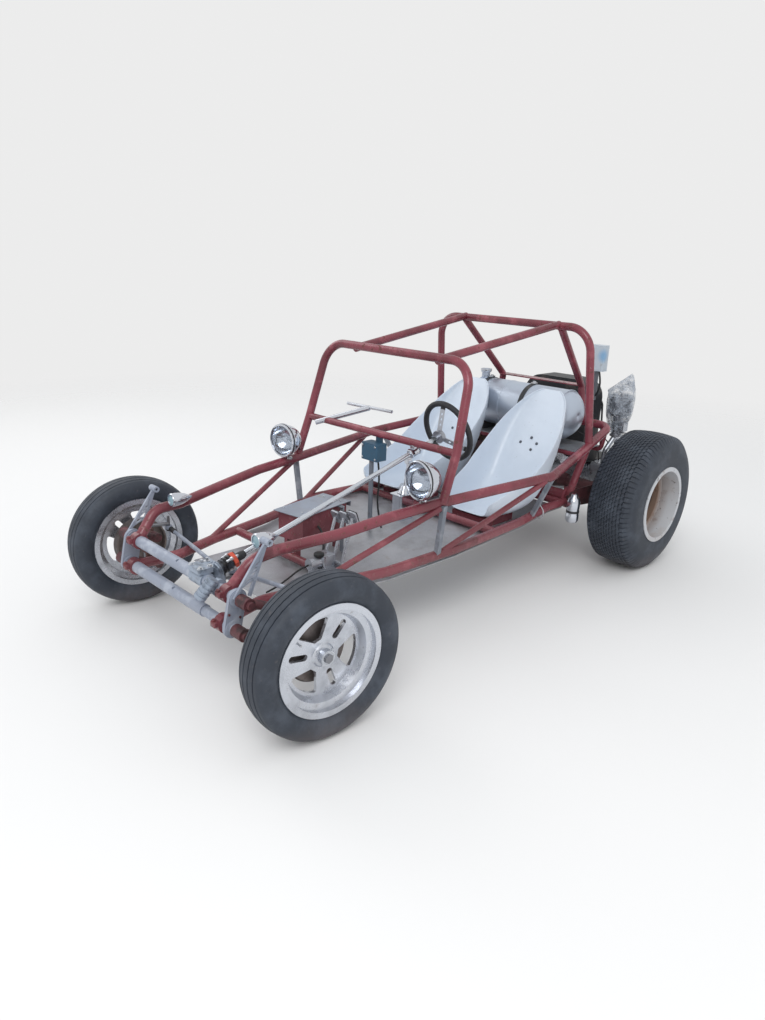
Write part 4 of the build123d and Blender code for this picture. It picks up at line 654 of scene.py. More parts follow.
FINISHES = {
    "red_paint": red_paint(),
    "grey_primer": primer("grey_primer", tone(112, 118, 128), tone(138, 143, 152)),
    "grey_beam": primer("grey_beam", tone(138, 146, 162), tone(160, 167, 180), 0.45, 0.3),
    "rusty_iron": rusty_iron("rusty_iron", tone(92, 62, 60), tone(60, 46, 46), tone(122, 84, 74)),
    "maroon_iron": rusty_iron("maroon_iron", tone(86, 42, 50), tone(52, 32, 38), tone(112, 66, 66), 0.6),
    "bare_steel": cast_metal("bare_steel", tone(134, 136, 142), tone(86, 78, 74), 0.45),
    "chrome": chrome(),
    "clean_chrome": chrome("clean_chrome", 0.15),
    "cast_aluminium": cast_metal("cast_aluminium", tone(176, 180, 188), tone(116, 118, 124), 0.38),
    "wheel_alloy": wheel_alloy(),
    "box_grey": box_metal(),
    "wheel_back": cast_metal("wheel_back", tone(124, 116, 114), tone(86, 74, 68), 0.6, 0.3),
    "sheet_aluminium": sheet_metal("sheet_aluminium", tone(184, 188, 194), tone(110, 112, 116), 0.3),
    "pan_aluminium": sheet_metal("pan_aluminium", tone(176, 178, 184), tone(92, 90, 92), 0.42, roughness=0.5,
                                 stain=0.4),
    "lid_steel": sheet_metal("lid_steel", tone(162, 170, 184), tone(176, 162, 96), 0.24, tone(168, 156, 108),
                             0.42),
    "tank_metal": tank_metal(),
    "white_shell": white_shell(),
    "white_steel_left": white_steel("white_steel_left", 1),
    "white_steel_right": white_steel("white_steel_right", -1),
    "tyre": tyre_rubber(),
    "black_steel": dark_metal("black_steel", tone(36, 38, 42)),
    "black_rubber": dark_metal("black_rubber", tone(30, 32, 35), 0.6),
    "blue_box": switch_box_paint(),
    "clear_glass": lamp_glass(),
    "dark_grey": dark_metal("dark_grey", tone(74, 80, 90), 0.4),
    "white_plastic": cloudy_bottle(),
    "bag_film": bag_film(),
    "bright_bolt": cast_metal("bright_bolt", tone(196, 200, 206), tone(122, 112, 104), 0.3, 0.1),
    "bolt_red": rusty_iron("bolt_red", tone(116, 50, 56), tone(76, 36, 42), tone(130, 80, 78), 0.5),
    "wheel_grip": grip_and_spokes(),
    "column_chrome": column_chrome(),
}
# Nodes with a finish of their own; the others take their slot's
SPECIAL = {
    "floor_pan": "pan_aluminium", "fuel_tank": "tank_metal", "steering_wheel": "wheel_grip",
    "steering_shaft": "column_chrome", "steering_box": "box_grey", "battery_lid": "lid_steel",
    "front_rim_left": "wheel_alloy", "front_rim_right": "wheel_alloy", "lamps": "clean_chrome",
    "swing_axles": "maroon_iron", "trailing_arms": "maroon_iron", "knuckle_left": "bare_steel",
    "knuckle_right": "bare_steel", "rear_rim_left": "white_steel_left", "rear_rim_right": "white_steel_right",
    "front_drum_left": "wheel_back", "front_drum_right": "wheel_back",
}
# Slots that the finishes of other names stand for
slot_of = {row["node"]: row["material_slot"] for row in frame["record"]["subparts"]}
for node, thing in frame["nodes"].items():
    thing.data.materials.clear()
    thing.data.materials.append(FINISHES[SPECIAL.get(node, slot_of[node])])


# Tyres
CROWN_SHARE = 0.37
CROWN_DROP = 9
SIDEWALL_POINTS = 12
SIDEWALL_RIB = 0.96
FRONT_TYRE = {"radius": FRONT_TYRE_RADIUS, "width": FRONT_TYRE_WIDTH, "rim_half": FRONT_RIM_HALF,
              "pitches": 60, "cut": 1.2, "zigzag": 0.5, "over_shoulder": (0, 0)}
REAR_TYRE = {"radius": REAR_TYRE_RADIUS, "width": REAR_TYRE_WIDTH, "rim_half": REAR_RIM_HALF,
             "pitches": 84, "cut": 6, "zigzag": 2.6, "over_shoulder": (1, 0.5)}
FRONT_GROOVES = (-39, -14, 14, 39)
REAR_GROOVES = (-84, -65, -46, -30, -15, 0, 15, 30, 46, 65, 84)
# columns: place within one pitch, cut across the tread, zigzag
FRONT_ROWS = ((0.0, 0, 1), (0.5, 0, -1))
REAR_ROWS = ((0.0, 0, 0), (0.22, 0, 1), (0.5, 0, -0.4), (0.7, 0, -1), (0.76, 1, -1), (0.9, 1, 0.4),
             (0.95, 0, 0.4))


def sidewall(size):
    """One sidewall as radii and distances from the middle: the circle through shoulder, bulge and bead,
    raised by low ribs that are the upper halves of a sine wave, and ended inside the rim."""
    shoulder = np.array([size["radius"] - CROWN_DROP, size["width"] * CROWN_SHARE])
    bulge = np.array([(size["radius"] + RIM_FLANGE_RADIUS) / 2, size["width"] / 2])
    bead = np.array([RIM_FLANGE_RADIUS + 3, size["rim_half"] - 5])
    matrix = 2 * np.array([bulge - shoulder, bead - shoulder])
    squares = [bulge @ bulge - shoulder @ shoulder, bead @ bead - shoulder @ shoulder]
    centre = np.linalg.solve(matrix, squares)
    reach = np.linalg.norm(shoulder - centre)
    start, end = (math.atan2(*(p - centre)[::-1]) for p in (shoulder, bead))
    angle = np.linspace(start, end, SIDEWALL_POINTS)[1:]
    radius, place = centre[0] + reach * np.cos(angle), centre[1] + reach * np.sin(angle)
    ribbed = SIDEWALL_POINTS - 2
    wave = np.clip(np.sin(np.linspace(0, 5 * np.pi, ribbed)), 0, 1)
    place[:ribbed] += SIDEWALL_RIB * wave * np.linspace(1, 0.4, ribbed)
    place = np.minimum(place, size["width"] / 2)
    return np.append(radius, RIM_BEAD_RADIUS + 6), np.append(place, size["rim_half"] - 5.5)


def around_axle(centre, axis, radius, along, angle):
    """Points round an axle in metres: the centre, plus the distance along the axle, plus the radius times
    the angle's cosine upward and its sine ahead."""
    up = np.array([0, 0, 1.0])
    ahead = np.cross(axis, up)
    return (centre + along[..., None] / 1000 * axis
            + radius[..., None] / 1000 * (np.cos(angle)[..., None] * up + np.sin(angle)[..., None] * ahead))


def tyre(name, node, wheel, size, columns, rows, body):
    """Tyre on a grid of tread columns and rows round the wheel: each radius is the outline's, less the
    deeper of its groove and its cross cut. Columns are (distance from the middle, groove depth, share of the
    cross cut's depth, turn of the cross cut in pitches); rows are (place within a pitch, cut, zigzag)."""
    place, groove, take, shift = np.array(columns, float).T
    row_place, cut, sway = np.array(rows, float).T
    crown = size["width"] * CROWN_SHARE
    top = size["radius"] - CROWN_DROP * (place / crown) ** 2
    side_radius, side_place = sidewall(size)
    plain = np.zeros(len(side_radius))
    shoulder = plain.copy()
    shoulder[:2] = size["over_shoulder"]
    radius = np.concatenate([side_radius[::-1], top, side_radius])
    along = np.concatenate([-side_place[::-1], place, side_place])
    depth = np.concatenate([plain, groove, plain])
    share = np.concatenate([shoulder[::-1], take, shoulder])
    turn = np.concatenate([plain + shift[0], shift, plain + shift[-1]])
    swaying = np.concatenate([plain, (np.abs(place) < crown * 0.9) * 1.0, plain])
    pitches = size["pitches"]
    start = (np.arange(pitches)[:, None] + row_place[None]).reshape(-1, 1)
    angle = (start + turn) / pitches * 2 * np.pi
    cuts, sways = np.tile(cut, pitches)[:, None], np.tile(sway, pitches)[:, None]
    cutting = np.maximum(depth, cuts * share * size["cut"])
    centre, axis = wheel
    points = around_axle(centre, axis, radius - cutting, along + size["zigzag"] * sways * swaying, angle)
    row_count, column_count = angle.shape
    faces = grid_faces(row_count, column_count, closed_rows=True)[:, ::-1]
    first = np.arange(row_count) * column_count
    after = np.roll(first, -1)
    inside = np.stack([first, after, after + column_count - 1, first + column_count - 1], -1)
    thing = piece(name, points, np.concatenate([faces, inside]), "tyre", body, smooth=28)
    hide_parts(node)


def rib_columns(crown, grooves, groove_width, depth):
    """Tread columns of plain ribs between straight grooves."""
    columns = [(-crown, 0, 0, 0), (-crown + 2, 0, 0, 0)]
    for middle in grooves:
        for step, down in ((-0.5, 0), (-0.3, depth), (0.3, depth), (0.5, 0)):
            columns.append((middle + step * groove_width, down, 1 - down / depth, 0))
    return columns + [(crown - 2, 0, 0, 0), (crown, 0, 0, 0)]


def block_columns(crown, grooves, groove_width, depth):
    """Tread columns of staggered blocks between zigzag grooves; every other row is turned half a pitch."""
    half = groove_width / 2
    columns = [(-crown, 0, 1, 0), (-crown + 6, 0, 1, 0)]
    for k, middle in enumerate(grooves):
        before, after = 0.5 * (k % 2), 0.5 * ((k + 1) % 2)
        columns += [(middle - half, 0, 1, before), (middle - half + 1.5, depth, 0, before)]
        columns += [(middle + half - 1.5, depth, 0, after), (middle + half, 0, 1, after)]
        if k + 1 < len(grooves):
            centre = (middle + grooves[k + 1]) / 2
            columns += [(centre - 4, 0, 0.35, after), (centre + 4, 0, 0.35, after)]
    end = 0.5 * (len(grooves) % 2)
    return columns + [(crown - 6, 0, 1, end), (crown, 0, 1, end)]


def make_tyres():
    """Ribbed tyres in front and block tyres behind, in the place of the plain solid ones."""
    ribs = rib_columns(FRONT_TYRE_WIDTH * CROWN_SHARE, FRONT_GROOVES, 5, 6)
    blocks = block_columns(REAR_TYRE_WIDTH * CROWN_SHARE, REAR_GROOVES, 5, 7)
    for word, side in SIDES:
        tyre(f"ribbed_tyre_{word}", f"front_tyre_{word}", wheel_axis(True, side), FRONT_TYRE, ribs,
             FRONT_ROWS, f"wheel_front_{word}")
        tyre(f"block_tyre_{word}", f"rear_tyre_{word}", wheel_axis(False, side), REAR_TYRE, blocks,
             REAR_ROWS, f"wheel_rear_{word}")


# Wheel hardware: profiles of (radius, along), used on the frame too
SMALL_HEAD = ((5, 0), (5, 3.4), (4, 4.4))
WASHER_HEAD = ((12, 0), (12, 2), (8, 2), (8, 7.5), (6.5, 9))
VALVE = ((4, -4), (4, 14), (3, 15), (3, 30), (4, 31), (4, 37))


def around_wheel(front, side, radius, depth, count, start):
    """Places evenly round a wheel's centre at one radius and depth, from a start angle in degrees."""
    centre, axis = wheel_axis(front, side)
    angle = np.radians(start) + 2 * np.pi * np.arange(count) / count
    return around_axle(centre, axis, np.full(count, float(radius)), np.full(count, float(depth)), angle)


def rear_wheel_hardware(word, side):
    """Wheel nuts and a valve on the pressed centre, and the black cap over the hub."""
    centre, axis = wheel_axis(False, side)
    nut = ((11, -2), (11, 10), (8, 14))
    nuts = lathe(around_wheel(False, side, 65, 4 - REAR_DISC_INSET, 5, 18), axis, nut, 6)
    valve = lathe(around_wheel(False, side, 152, 4 - REAR_DISC_INSET, 1, 70), axis, VALVE, 8)
    fitted(f"rear_wheel_nuts_{word}", (nuts, valve), "bright_bolt", f"wheel_rear_{word}")
    cap = ((41, -36), (41, -24), (38, -18), (26, -8), (24, 2), (14, 4))
    piece(f"rear_hub_cap_{word}", *lathe(centre, axis, cap, 32), "black_steel", f"wheel_rear_{word}")


def front_wheel_hardware(word, side):
    """Valve and small bolts on the cast wheel, and the bright ring round its hub."""
    centre, axis = wheel_axis(True, side)
    valve = lathe(around_wheel(True, side, 158, 18, 1, 52), axis, VALVE, 8)
    bolts = lathe(around_wheel(True, side, 36, 5, 3, 50), axis, SMALL_HEAD, 6)
    fitted(f"front_wheel_bolts_{word}", (valve, bolts), "bright_bolt", f"wheel_front_{word}")
    ring = ((17, 28), (25, 28), (25, 31), (21, 31), (20, 29), (17, 29))
    piece(f"front_hub_ring_{word}", *lathe(centre, axis, ring, 32), "bright_bolt", f"wheel_front_{word}")


# Seats
SEAT_X = 250
SEAT_WALL = 0.0055
# columns: distance behind, height of the floor line, half width, side height, lean of the section
SEAT_BACK = ((1836, 780, 184, 74, 25), (1896, 893, 132, 30, 26), (1926, 943, 86, 13, 28),
             (1937, 960, 46, 7, 30))
SEAT_FRONT = {
    1: ((1286, 414, 118, 62, 95), (1300, 410, 155, 98, 94), (1400, 400, 176, 146, 90),
        (1520, 400, 188, 192, 84), (1625, 428, 198, 204, 62), (1702, 512, 204, 180, 40),
        (1768, 636, 204, 130, 28)),
    -1: ((1180, 464, 132, 34, 97), (1195, 456, 178, 54, 96), (1300, 412, 180, 128, 94),
         (1400, 400, 184, 196, 90), (1520, 400, 190, 226, 82), (1625, 428, 198, 236, 60),
         (1702, 512, 204, 214, 39), (1768, 636, 204, 156, 28)),
}
# columns: share of the half width, share of the side height
SEAT_CURVE = ((-1, 1), (-0.97, 0.62), (-0.91, 0.25), (-0.8, 0.06), (-0.5, 0.012), (0, 0.01),
              (0.5, 0.012), (0.8, 0.06), (0.91, 0.25), (0.97, 0.62), (1, 1))


def scoop_seat(word, side):
    """Seat shell: at each section the curve's shares times half width and side height, laid across the
    section's own plane, then given a wall and rounded by subdivision."""
    behind, height, half, depth, lean = np.array(SEAT_FRONT[side] + SEAT_BACK, float).T
    across, rise = np.array(SEAT_CURVE).T
    a = np.radians(lean)
    floor_line = np.stack([np.full(len(a), side * SEAT_X), FRONT_AXLE_Y + behind, height], -1)
    upward = np.stack([0 * a, -np.cos(a), np.sin(a)], -1)
    points = (floor_line[:, None] + half[:, None, None] * across[None, :, None] * np.array([1.0, 0, 0])
              + (depth[:, None] * rise[None])[..., None] * upward[:, None])
    faces = grid_faces(len(a), len(across))
    thing = piece(f"scoop_seat_{word}", points / 1000, faces, "white_shell", smooth=80)
    wall = thing.modifiers.new("wall", "SOLIDIFY")
    wall.thickness = SEAT_WALL
    wall.offset = 0
    round_off = thing.modifiers.new("round_off", "SUBSURF")
    round_off.levels = round_off.render_levels = 2
    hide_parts(f"seat_{word}")


# Front end

def beam_clamps(word, side):
    """Welded ears with bolts where the beam meets the frame, and collars and bolts on the end plate."""
    ear_x, plate_x = side * 336, side * 395
    ears = [block(at(ear_x, back - 38, z + 8), (30, 22, 24)) for back, z in BEAM_TUBES]
    fitted(f"clamp_ears_{word}", ears, "red_paint")
    bolts = [(ear_x, back - 42, z + 19) for back, z in BEAM_TUBES]
    turnings(f"clamp_bolts_{word}", bolts, UP, WASHER_HEAD, 6, "bolt_red")
    collar = ((20.3, 0), (33, 0), (33, 3), (30, 4), (20.3, 4))
    collars = [hollow(at(plate_x, back, z), (side, 0, 0), collar) for back, z in BEAM_TUBES]
    fitted(f"end_plate_collars_{word}", collars, "grey_beam")
    bolts = [(plate_x, back, z) for back, z in ((-127, 404), (-139, 366), (-184, 388))]
    turnings(f"end_plate_bolts_{word}", bolts, (side, 0, 0), SMALL_HEAD, 6, "bolt_red")


def steering_box_top():
    """Bolts of the steering box's lid, with the sector shaft's lock nut and flange."""
    lid_bolts = [(x, back, 485.6) for x in (124, 184) for back in (-166, -124)]
    turnings("steering_box_bolts", lid_bolts, UP, WASHER_HEAD, 6, "bright_bolt")
    lock_nut = ((13, 0), (13, 7), (6, 8), (6, 18))
    turnings("sector_lock_nut", [(*SECTOR, 475.6)], UP, lock_nut, 6, "bright_bolt")
    turnings("sector_flange", [(*SECTOR, 470)], UP, ((21, 0), (21, 9), (17, 10)), 24, "box_grey")


def column_coupler():
    """Bolts through the orange disc, with heads above and shanks below, and the yoke that they hold."""
    sideways = unit(np.cross(UP, COLUMN))
    upright = np.cross(COLUMN, sideways)
    spokes = [math.cos(a) * sideways + math.sin(a) * upright for a in np.radians((45, 135, 225, 315))]
    head = ((6.5, -0.5), (6.5, 6), (4, 7), (4, 11))
    shank = ((8, -0.5), (8, 8), (5, 9), (5, 26))
    heads = lathe([COUPLER + 0.023 * s for s in spokes], COLUMN, head, 6)
    shanks = lathe([COUPLER + 0.028 * s - 0.016 * COLUMN for s in spokes], -COLUMN, shank, 6)
    fitted("coupler_bolts", (heads, shanks), "bright_bolt", "steering_column")
    bar = block(COUPLER + 0.005 * COLUMN, (56, 15, 9), sideways + upright, upright - sideways)
    socket = lathe(COUPLER, COLUMN, ((17, 0), (17, 32), (13, 44)), 20)
    fitted("coupler_yoke", (bar, socket), "black_steel", "steering_column")


def column_top():
    """Collars on both faces of the column's bearing, and the cap on the steering wheel's hub."""
    bearing_y = at(0, 884, 0)[1]
    share = (bearing_y - COUPLER[1]) / (HUB[1] - COUPLER[1])
    bearing = COUPLER + share * (HUB - COUPLER)
    near = lathe(bearing - 0.02 * COLUMN, COLUMN, ((19, -10), (22, -7), (22, 2), (19, 4)), 6)
    far = lathe(bearing + 0.022 * COLUMN, COLUMN, ((19, -4), (22, -2), (22, 7), (19, 9)), 6)
    fitted("bearing_collars", (near, far), "clean_chrome")
    cap = ((24, 7.5), (24, 11), (20, 15), (9, 17))
    piece("wheel_hub_cap", *lathe(HUB, COLUMN, cap, 32), "black_steel", "steering_column")


def tie_rod_ends(word, side, height, boot_axis):
    """Clamped sleeves with lock nuts at both ends of a tie rod, and the dust boots on its joints."""
    across, back = turned(side, 0, STEER_ARM)
    inner = np.array(at(SECTOR[0] + across, SECTOR[1] + back, height))
    outer = np.array(at(side * KINGPIN_X + across, back, height))
    along = unit(outer - inner)
    sleeve = ((9, 27), (12.5, 29), (12.5, 66), (11, 68), (11, 76), (9, 77))
    sleeves = lathe([inner, outer], [along, -along], sleeve)
    piece(f"tie_rod_sleeves_{word}", *sleeves, "black_steel", f"tie_rod_{word}")
    boots = lathe([inner, outer], boot_axis, ((16.5, 7.5), (14, 12), (9, 17)), 20)
    piece(f"tie_rod_boots_{word}", *boots, "black_rubber", f"tie_rod_{word}")


# Lamps
HEADLIGHT_X = 457
HEADLIGHT_BEHIND = 686
HEADLIGHTS = ((1, 731), (-1, 723))
HEADLIGHT_TOE = 6
RIM_RING = ((75, -0.6), (75, -2.4), (79, -3.4), (82.4, -1.4), (83, 2), (82.2, 4), (81, 2), (77, -0.4))
GASKET = ((82, 4), (82.8, 5), (82.8, 10), (82, 11))
BOWL_RING = ((82, 11), (84, 12), (84, 17), (82, 18))
BULB_CUP = ((5, -76), (10, -62), (15, -50), (13, -42), (3, -38))
BULLET_RING = ((22.6, -0.5), (23, -3), (27, -3), (29.4, 2), (29, 9), (28.2, 9), (28.2, 3), (23.5, -0.2))


def lamp_rings():
    """Rims, gaskets and bulb cups of both headlights, and the rings of the turn lights in front."""
    toe = math.radians(HEADLIGHT_TOE)
    rims, gaskets, cups = [], [], []
    for side, height in HEADLIGHTS:
        axis = np.array((side * math.sin(toe), math.cos(toe), 0))
        place = at(side * HEADLIGHT_X, HEADLIGHT_BEHIND, height)
        rims += [hollow(place, axis, RIM_RING), hollow(place, axis, BOWL_RING)]
        gaskets.append(hollow(place, axis, GASKET))
        cups.append(lathe(place, -axis, BULB_CUP, 24))
    rims += [hollow(at(side * 306, -3, 592), BACK, BULLET_RING, 32) for _, side in SIDES]
    fitted("lamp_rings", rims, "clean_chrome")
    fitted("lamp_gaskets", gaskets, "black_rubber")
    fitted("bulb_cups", cups, "clean_chrome")


def lamp_posts():
    """Nuts that hold the headlights on their posts, and the wire that hangs behind each."""
    nut = ((15, 0), (15, 9), (10, 11))
    turnings("lamp_post_nuts", [(x, 730, 626) for x in (452, -452)], UP, nut, 6, "bright_bolt")
    for word, side in SIDES:
        hose(f"lamp_wire_{word}", [(side * 462, 772, 690), (side * 468, 800, 668), (side * 478, 822, 650),
                                   (side * 482, 822, 628)], 6)


# Cockpit
PEDAL_PADS = ((206, 556), (258, 566), (312, 580))
PAD_SIZE = (48, 56, 4.4)


def battery_lid():
    """Screws in the battery's lid, and the bracket that stands behind it."""
    screws = [(-40, 384, 549), (64, 400, 549), (-56, 620, 549), (40, 636, 549)]
    turnings("lid_screws", screws, UP, SMALL_HEAD, 6, "bright_bolt")
    bracket = (block(at(88, 606, 437), (24, 5, 218)), block(at(79, 604, 541), (34, 20, 5)))
    fitted("lid_bracket", bracket, "grey_primer")


def pedals():
    """Rubber pads on the three pedals, the fluid cap and the bolts of the casting below them."""
    lean = unit((0, 0.9, 0.35))
    upward = (0, -lean[2], lean[1])
    centres = places([(x, 464, z) for x, z in PEDAL_PADS]) + 0.0102 * lean
    pads = [block(centre, PAD_SIZE, second=upward) for centre in centres]
    fitted("pedal_rubbers", pads, "black_rubber")
    cap = ((20, 0), (22, 2), (22, 12), (18, 15))
    turnings("fluid_cap", [(250, 340, 426)], UP, cap, 16, "black_rubber")
    bolts = [(x, back, 379.6) for x in (206, 310) for back in (336, 408)]
    turnings("casting_bolts", bolts, UP, WASHER_HEAD, 6, "bright_bolt")


def switches():
    """Toggles and screws on the switch box."""
    toggle = ((7, 0), (7, 4), (3, 5), (2.6, 18), (3.6, 21))
    turnings("toggle_switches", [(x, 897, 742) for x in (-16, 12, 40)], BACK, toggle, 12, "bright_bolt")
    screws = [(x, 831, z) for x in (-30, 54) for z in (711, 769)]
    turnings("box_screws", screws, AHEAD, SMALL_HEAD, 8, "bright_bolt")


def cockpit_lines():
    """Wires from the switch box, the battery's cable and the line from the pedals' reservoir."""
    hose("switch_loom", [(38, 866, 701), (48, 872, 620), (38, 868, 500), (44, 880, 420), (40, 900, 362)], 9)
    hose("battery_cable", [(84, 470, 480), (112, 470, 470), (140, 460, 410), (150, 440, 350),
                           (196, 410, 336)], 10)
    hose("brake_line", [(250, 284, 400), (250, 240, 396), (252, 190, 376), (248, 130, 350),
                        (262, 70, 350)], 8)


def seat_bolts():
    """Bolt heads on the backs of the seats, square to the shell."""
    heads = [(182, 1791, 684), (258, 1778, 658), (281, 1794, 692), (239, 1805, 715), (-291, 1787, 676)]
    turnings("seat_bolts", heads, (0, -0.904, 0.427), ((8, 0), (8, 6), (5, 7), (5, 10)), 12, "dark_grey")


# Tank
TANK_BEHIND = 2046
TANK_HEIGHT = 824


def tank_fittings():
    """Raised seams round the tank, the filler's band and the buckles of its straps."""
    seam = ((129, -5), (132, -3), (132, 3), (129, 5))
    seams = [hollow(at(x, TANK_BEHIND, TANK_HEIGHT), (1, 0, 0), seam, 64) for x in (-290, -90, 290)]
    fitted("tank_seams", seams, "tank_metal")
    band = ((29, 0), (32.5, 0), (33, 2), (33, 9), (32, 10), (29, 10))
    piece("filler_band", *hollow(at(-282, TANK_BEHIND, 990), UP, band, 24), "bright_bolt")
    nut = ((0, 0), (9, 0), (9, 6), (7.5, 7.5))
    for number, x in enumerate((-236, 58)):
        plate = block(at(x, TANK_BEHIND, 961), (22, 34, 8))
        fitted(f"strap_buckle_{number}", (plate, lathe(at(x, TANK_BEHIND, 964), UP, nut, 6)), "bright_bolt")
    hose("fuel_line", [(160, 2160, 760), (172, 2215, 740), (236, 2330, 655), (262, 2450, 640),
                       (268, 2552, 668), (276, 2588, 690)], 9)


# Rear end
CANISTER = (484, 1885)
CANISTER_PROFILE = ((14, 0), (27, 4), (34, 16), (35, 44), (31, 62), (34, 78), (36, 112), (31, 132), (19, 142),
                    (15, 158))
RAIL_HOOK = ((462, 1588, 450), (488, 1590, 430), (490, 1596, 398), (474, 1600, 370), (445, 1602, 370),
             (429, 1604, 394), (433, 1606, 416))


def chrome_canister():
    """Small chrome bottle beside the frame's loop, and the strap that holds it."""
    turnings("chrome_canister", [(*CANISTER, 292)], UP, CANISTER_PROFILE, 32, "clean_chrome")
    strap = hollow(at(*CANISTER, 348), UP, ((30, 0), (34, 0), (34, 12), (30, 12)), 32)
    lug = block(at(452, 1905, 354), (30, 20, 10), (1, -1, 0), (1, 1, 0))
    fitted("canister_strap", (strap, lug), "black_steel")


def rail_hook():
    """Bent wire hook on the lower rail."""
    rod("rail_hook", places(RAIL_HOOK), 3, "bright_bolt")


def plate_bolts():
    """Bolts on the spring plates of both swing axles."""
    rows = [(x, back, z) for x in (436, -436) for back, z in ((2288, 410), (2346, 410), (2317, 336))]
    turnings("plate_bolts", rows, (1, 0, 0), ((9, -1), (9, 6), (7, 8)), 6, "bolt_red")


# Bag over the near air cleaner
AIR_CLEANER_X = 294
AIR_CLEANER_BEHIND = 2613
BAG_COLUMNS = 96
BAG_ROWS = 46
FILM = 0.0008
# columns: height, middle, half width, half depth, slope of the seam, depth of the folds
BAG_LEVELS = ((652, 288, 42, 40, 0, 0.13), (676, 290, 50, 47, 0, 0.12), (704, 292, 54, 51, 0, 0.1),
              (734, 294, 64, 62, 0, 0.07), (762, 294, 75, 73, 0, 0.03), (800, 294, 78, 75, 0, 0.03),
              (840, 294, 79, 75, 0.02, 0.03), (868, 294, 78, 72, 0.08, 0.03),
              (896, 291, 77, 58, 0.25, 0.05), (922, 286, 75, 38, 0.48, 0.06),
              (944, 278, 72, 16, 0.72, 0.04), (952, 275, 71, 3, 0.8, 0.0))


def bag_surface():
    """Clear bag: rings round the air cleaner, widened and narrowed by two sines of the angle that shift with
    height, so the folds wander; each ring is tilted by its slope, so the seam rises to one corner."""
    fine = np.linspace(0, len(BAG_LEVELS) - 1, BAG_ROWS)
    whole = np.arange(len(BAG_LEVELS))
    levels = [np.interp(fine, whole, column)[:, None] for column in np.array(BAG_LEVELS).T]
    z, middle, wide, deep, slope, fold = levels
    angle = np.linspace(0, 2 * np.pi, BAG_COLUMNS, endpoint=False)[None]
    broad = np.sin(9 * angle + fine[:, None] * 0.5)
    narrow = np.sin(17 * angle - fine[:, None] * 0.9)
    crease = 1 + fold * (broad + 0.6 * narrow)
    x = wide * crease * np.cos(angle)
    points = np.stack([middle + x, AIR_CLEANER_BEHIND + deep * crease * np.sin(angle), z + slope * x], -1)
    points = (points + (0, FRONT_AXLE_Y, 0)) / 1000
    top_row = list(range((BAG_ROWS - 1) * BAG_COLUMNS, BAG_ROWS * BAG_COLUMNS))
    return points, grid_faces(BAG_ROWS, BAG_COLUMNS, around=True).tolist() + [top_row]


def air_cleaner_bag():
    """The bag as a thin draped sheet, given a wall as thick as the film."""
    bag = piece("air_cleaner_bag", *bag_surface(), "bag_film", smooth=180)
    bag.modifiers.new("film", "SOLIDIFY").thickness = FILM


# Engine
INTAKE = (-22, 2404, 742)
DISTRIBUTOR = (-92, 2612)
COIL = (128, 2592)
FAN_BLADES = 16
PULLEY_BEHIND = 2836
# columns: which half the belt lies on, radius, height
PULLEYS = ((1, 60, 742), (-1, 88, 415))
# columns: label, side, distance behind
PLUGS = (("a", 1, 2543), ("b", 1, 2683), ("c", -1, 2543), ("d", -1, 2683))
# where the leads of each side pass over the engine: half width and height
LEAD_CREST = {1: (0, 650), -1: (-130, 630)}


def air_cleaner_tops():
    """Bands round both air cleaners, the wing nuts on top and the throttle levers below."""
    band = ((66, 0), (70, 1), (70, 7), (66, 8))
    rings = [(side * AIR_CLEANER_X, AIR_CLEANER_BEHIND, z) for side in (1, -1) for z in (770, 852)]
    bands = [hollow(at(*ring), UP, band, 40) for ring in rings]
    fitted("air_cleaner_bands", bands, "bright_bolt")
    wing_nut = ((14, 0), (14, 3), (5, 4), (5, 14), (9, 16), (9, 22))
    tops = [(side * AIR_CLEANER_X, AIR_CLEANER_BEHIND, 867) for side in (1, -1)]
    turnings("air_cleaner_wing_nuts", tops, UP, wing_nut, 8, "bright_bolt")
    levers = [block(at(side * 331, AIR_CLEANER_BEHIND, 650), (18, 66, 10)) for side in (1, -1)]
    fitted("throttle_levers", levers, "bright_bolt")


def distributor():
    """Distributor cap with its four towers, whose places are given back."""
    cap = ((17, 0), (17, 36), (28, 40), (31, 48), (31, 64), (25, 72), (10, 74))
    turnings("distributor", [(*DISTRIBUTOR, 497)], UP, cap, 24, "black_rubber")
    x, back = DISTRIBUTOR
    towers = [(x + 19 * math.cos(a), back + 19 * math.sin(a)) for a in np.radians((45, 135, 225, 315))]
    tower = ((6, 0), (6, 14), (5, 16))
    turnings("distributor_towers", [(*spot, 565) for spot in towers], UP, tower, 12, "black_rubber")
    return towers


def coil_and_filler():
    """Ignition coil with its strap, and the oil filler behind it."""
    coil = ((26, 0), (27, 3), (27, 92), (22, 96), (14, 100), (8, 114))
    turnings("ignition_coil", [(*COIL, 690)], UP, coil, 28, "black_steel")
    strap = hollow(at(*COIL, 730), UP, ((27, 0), (29, 0), (29, 22), (27, 22)), 28)
    fitted("coil_strap", (strap, block(at(128, 2566, 741), (46, 10, 22))), "bright_bolt")
    filler = ((20, 0), (20, 54), (29, 58), (29, 74), (25, 78))
    turnings("oil_filler", [(82, 2750, 497)], UP, filler, 24, "black_steel")


def plug_leads(towers):
    """Leads from the four plugs over the engine to the distributor's towers, each into its own boot."""
    boot = ((4, 0), (7, 2), (6, 20), (4, 22))
    for (label, side, back), tower in zip(PLUGS, towers):
        end = turnings(f"lead_boot_{label}", [(*tower, 578)], UP, boot, 12, "black_rubber")
        crest_x, crest_z = LEAD_CREST[side]
        crest = (crest_x, (back + DISTRIBUTOR[1]) / 2, crest_z)
        hose(f"plug_lead_{label}", [(side * 240, back, 476), (side * 234, back, 530), (side * 190, back, 590),
                                    crest, (*tower, 622), (*tower, 584)], 7)


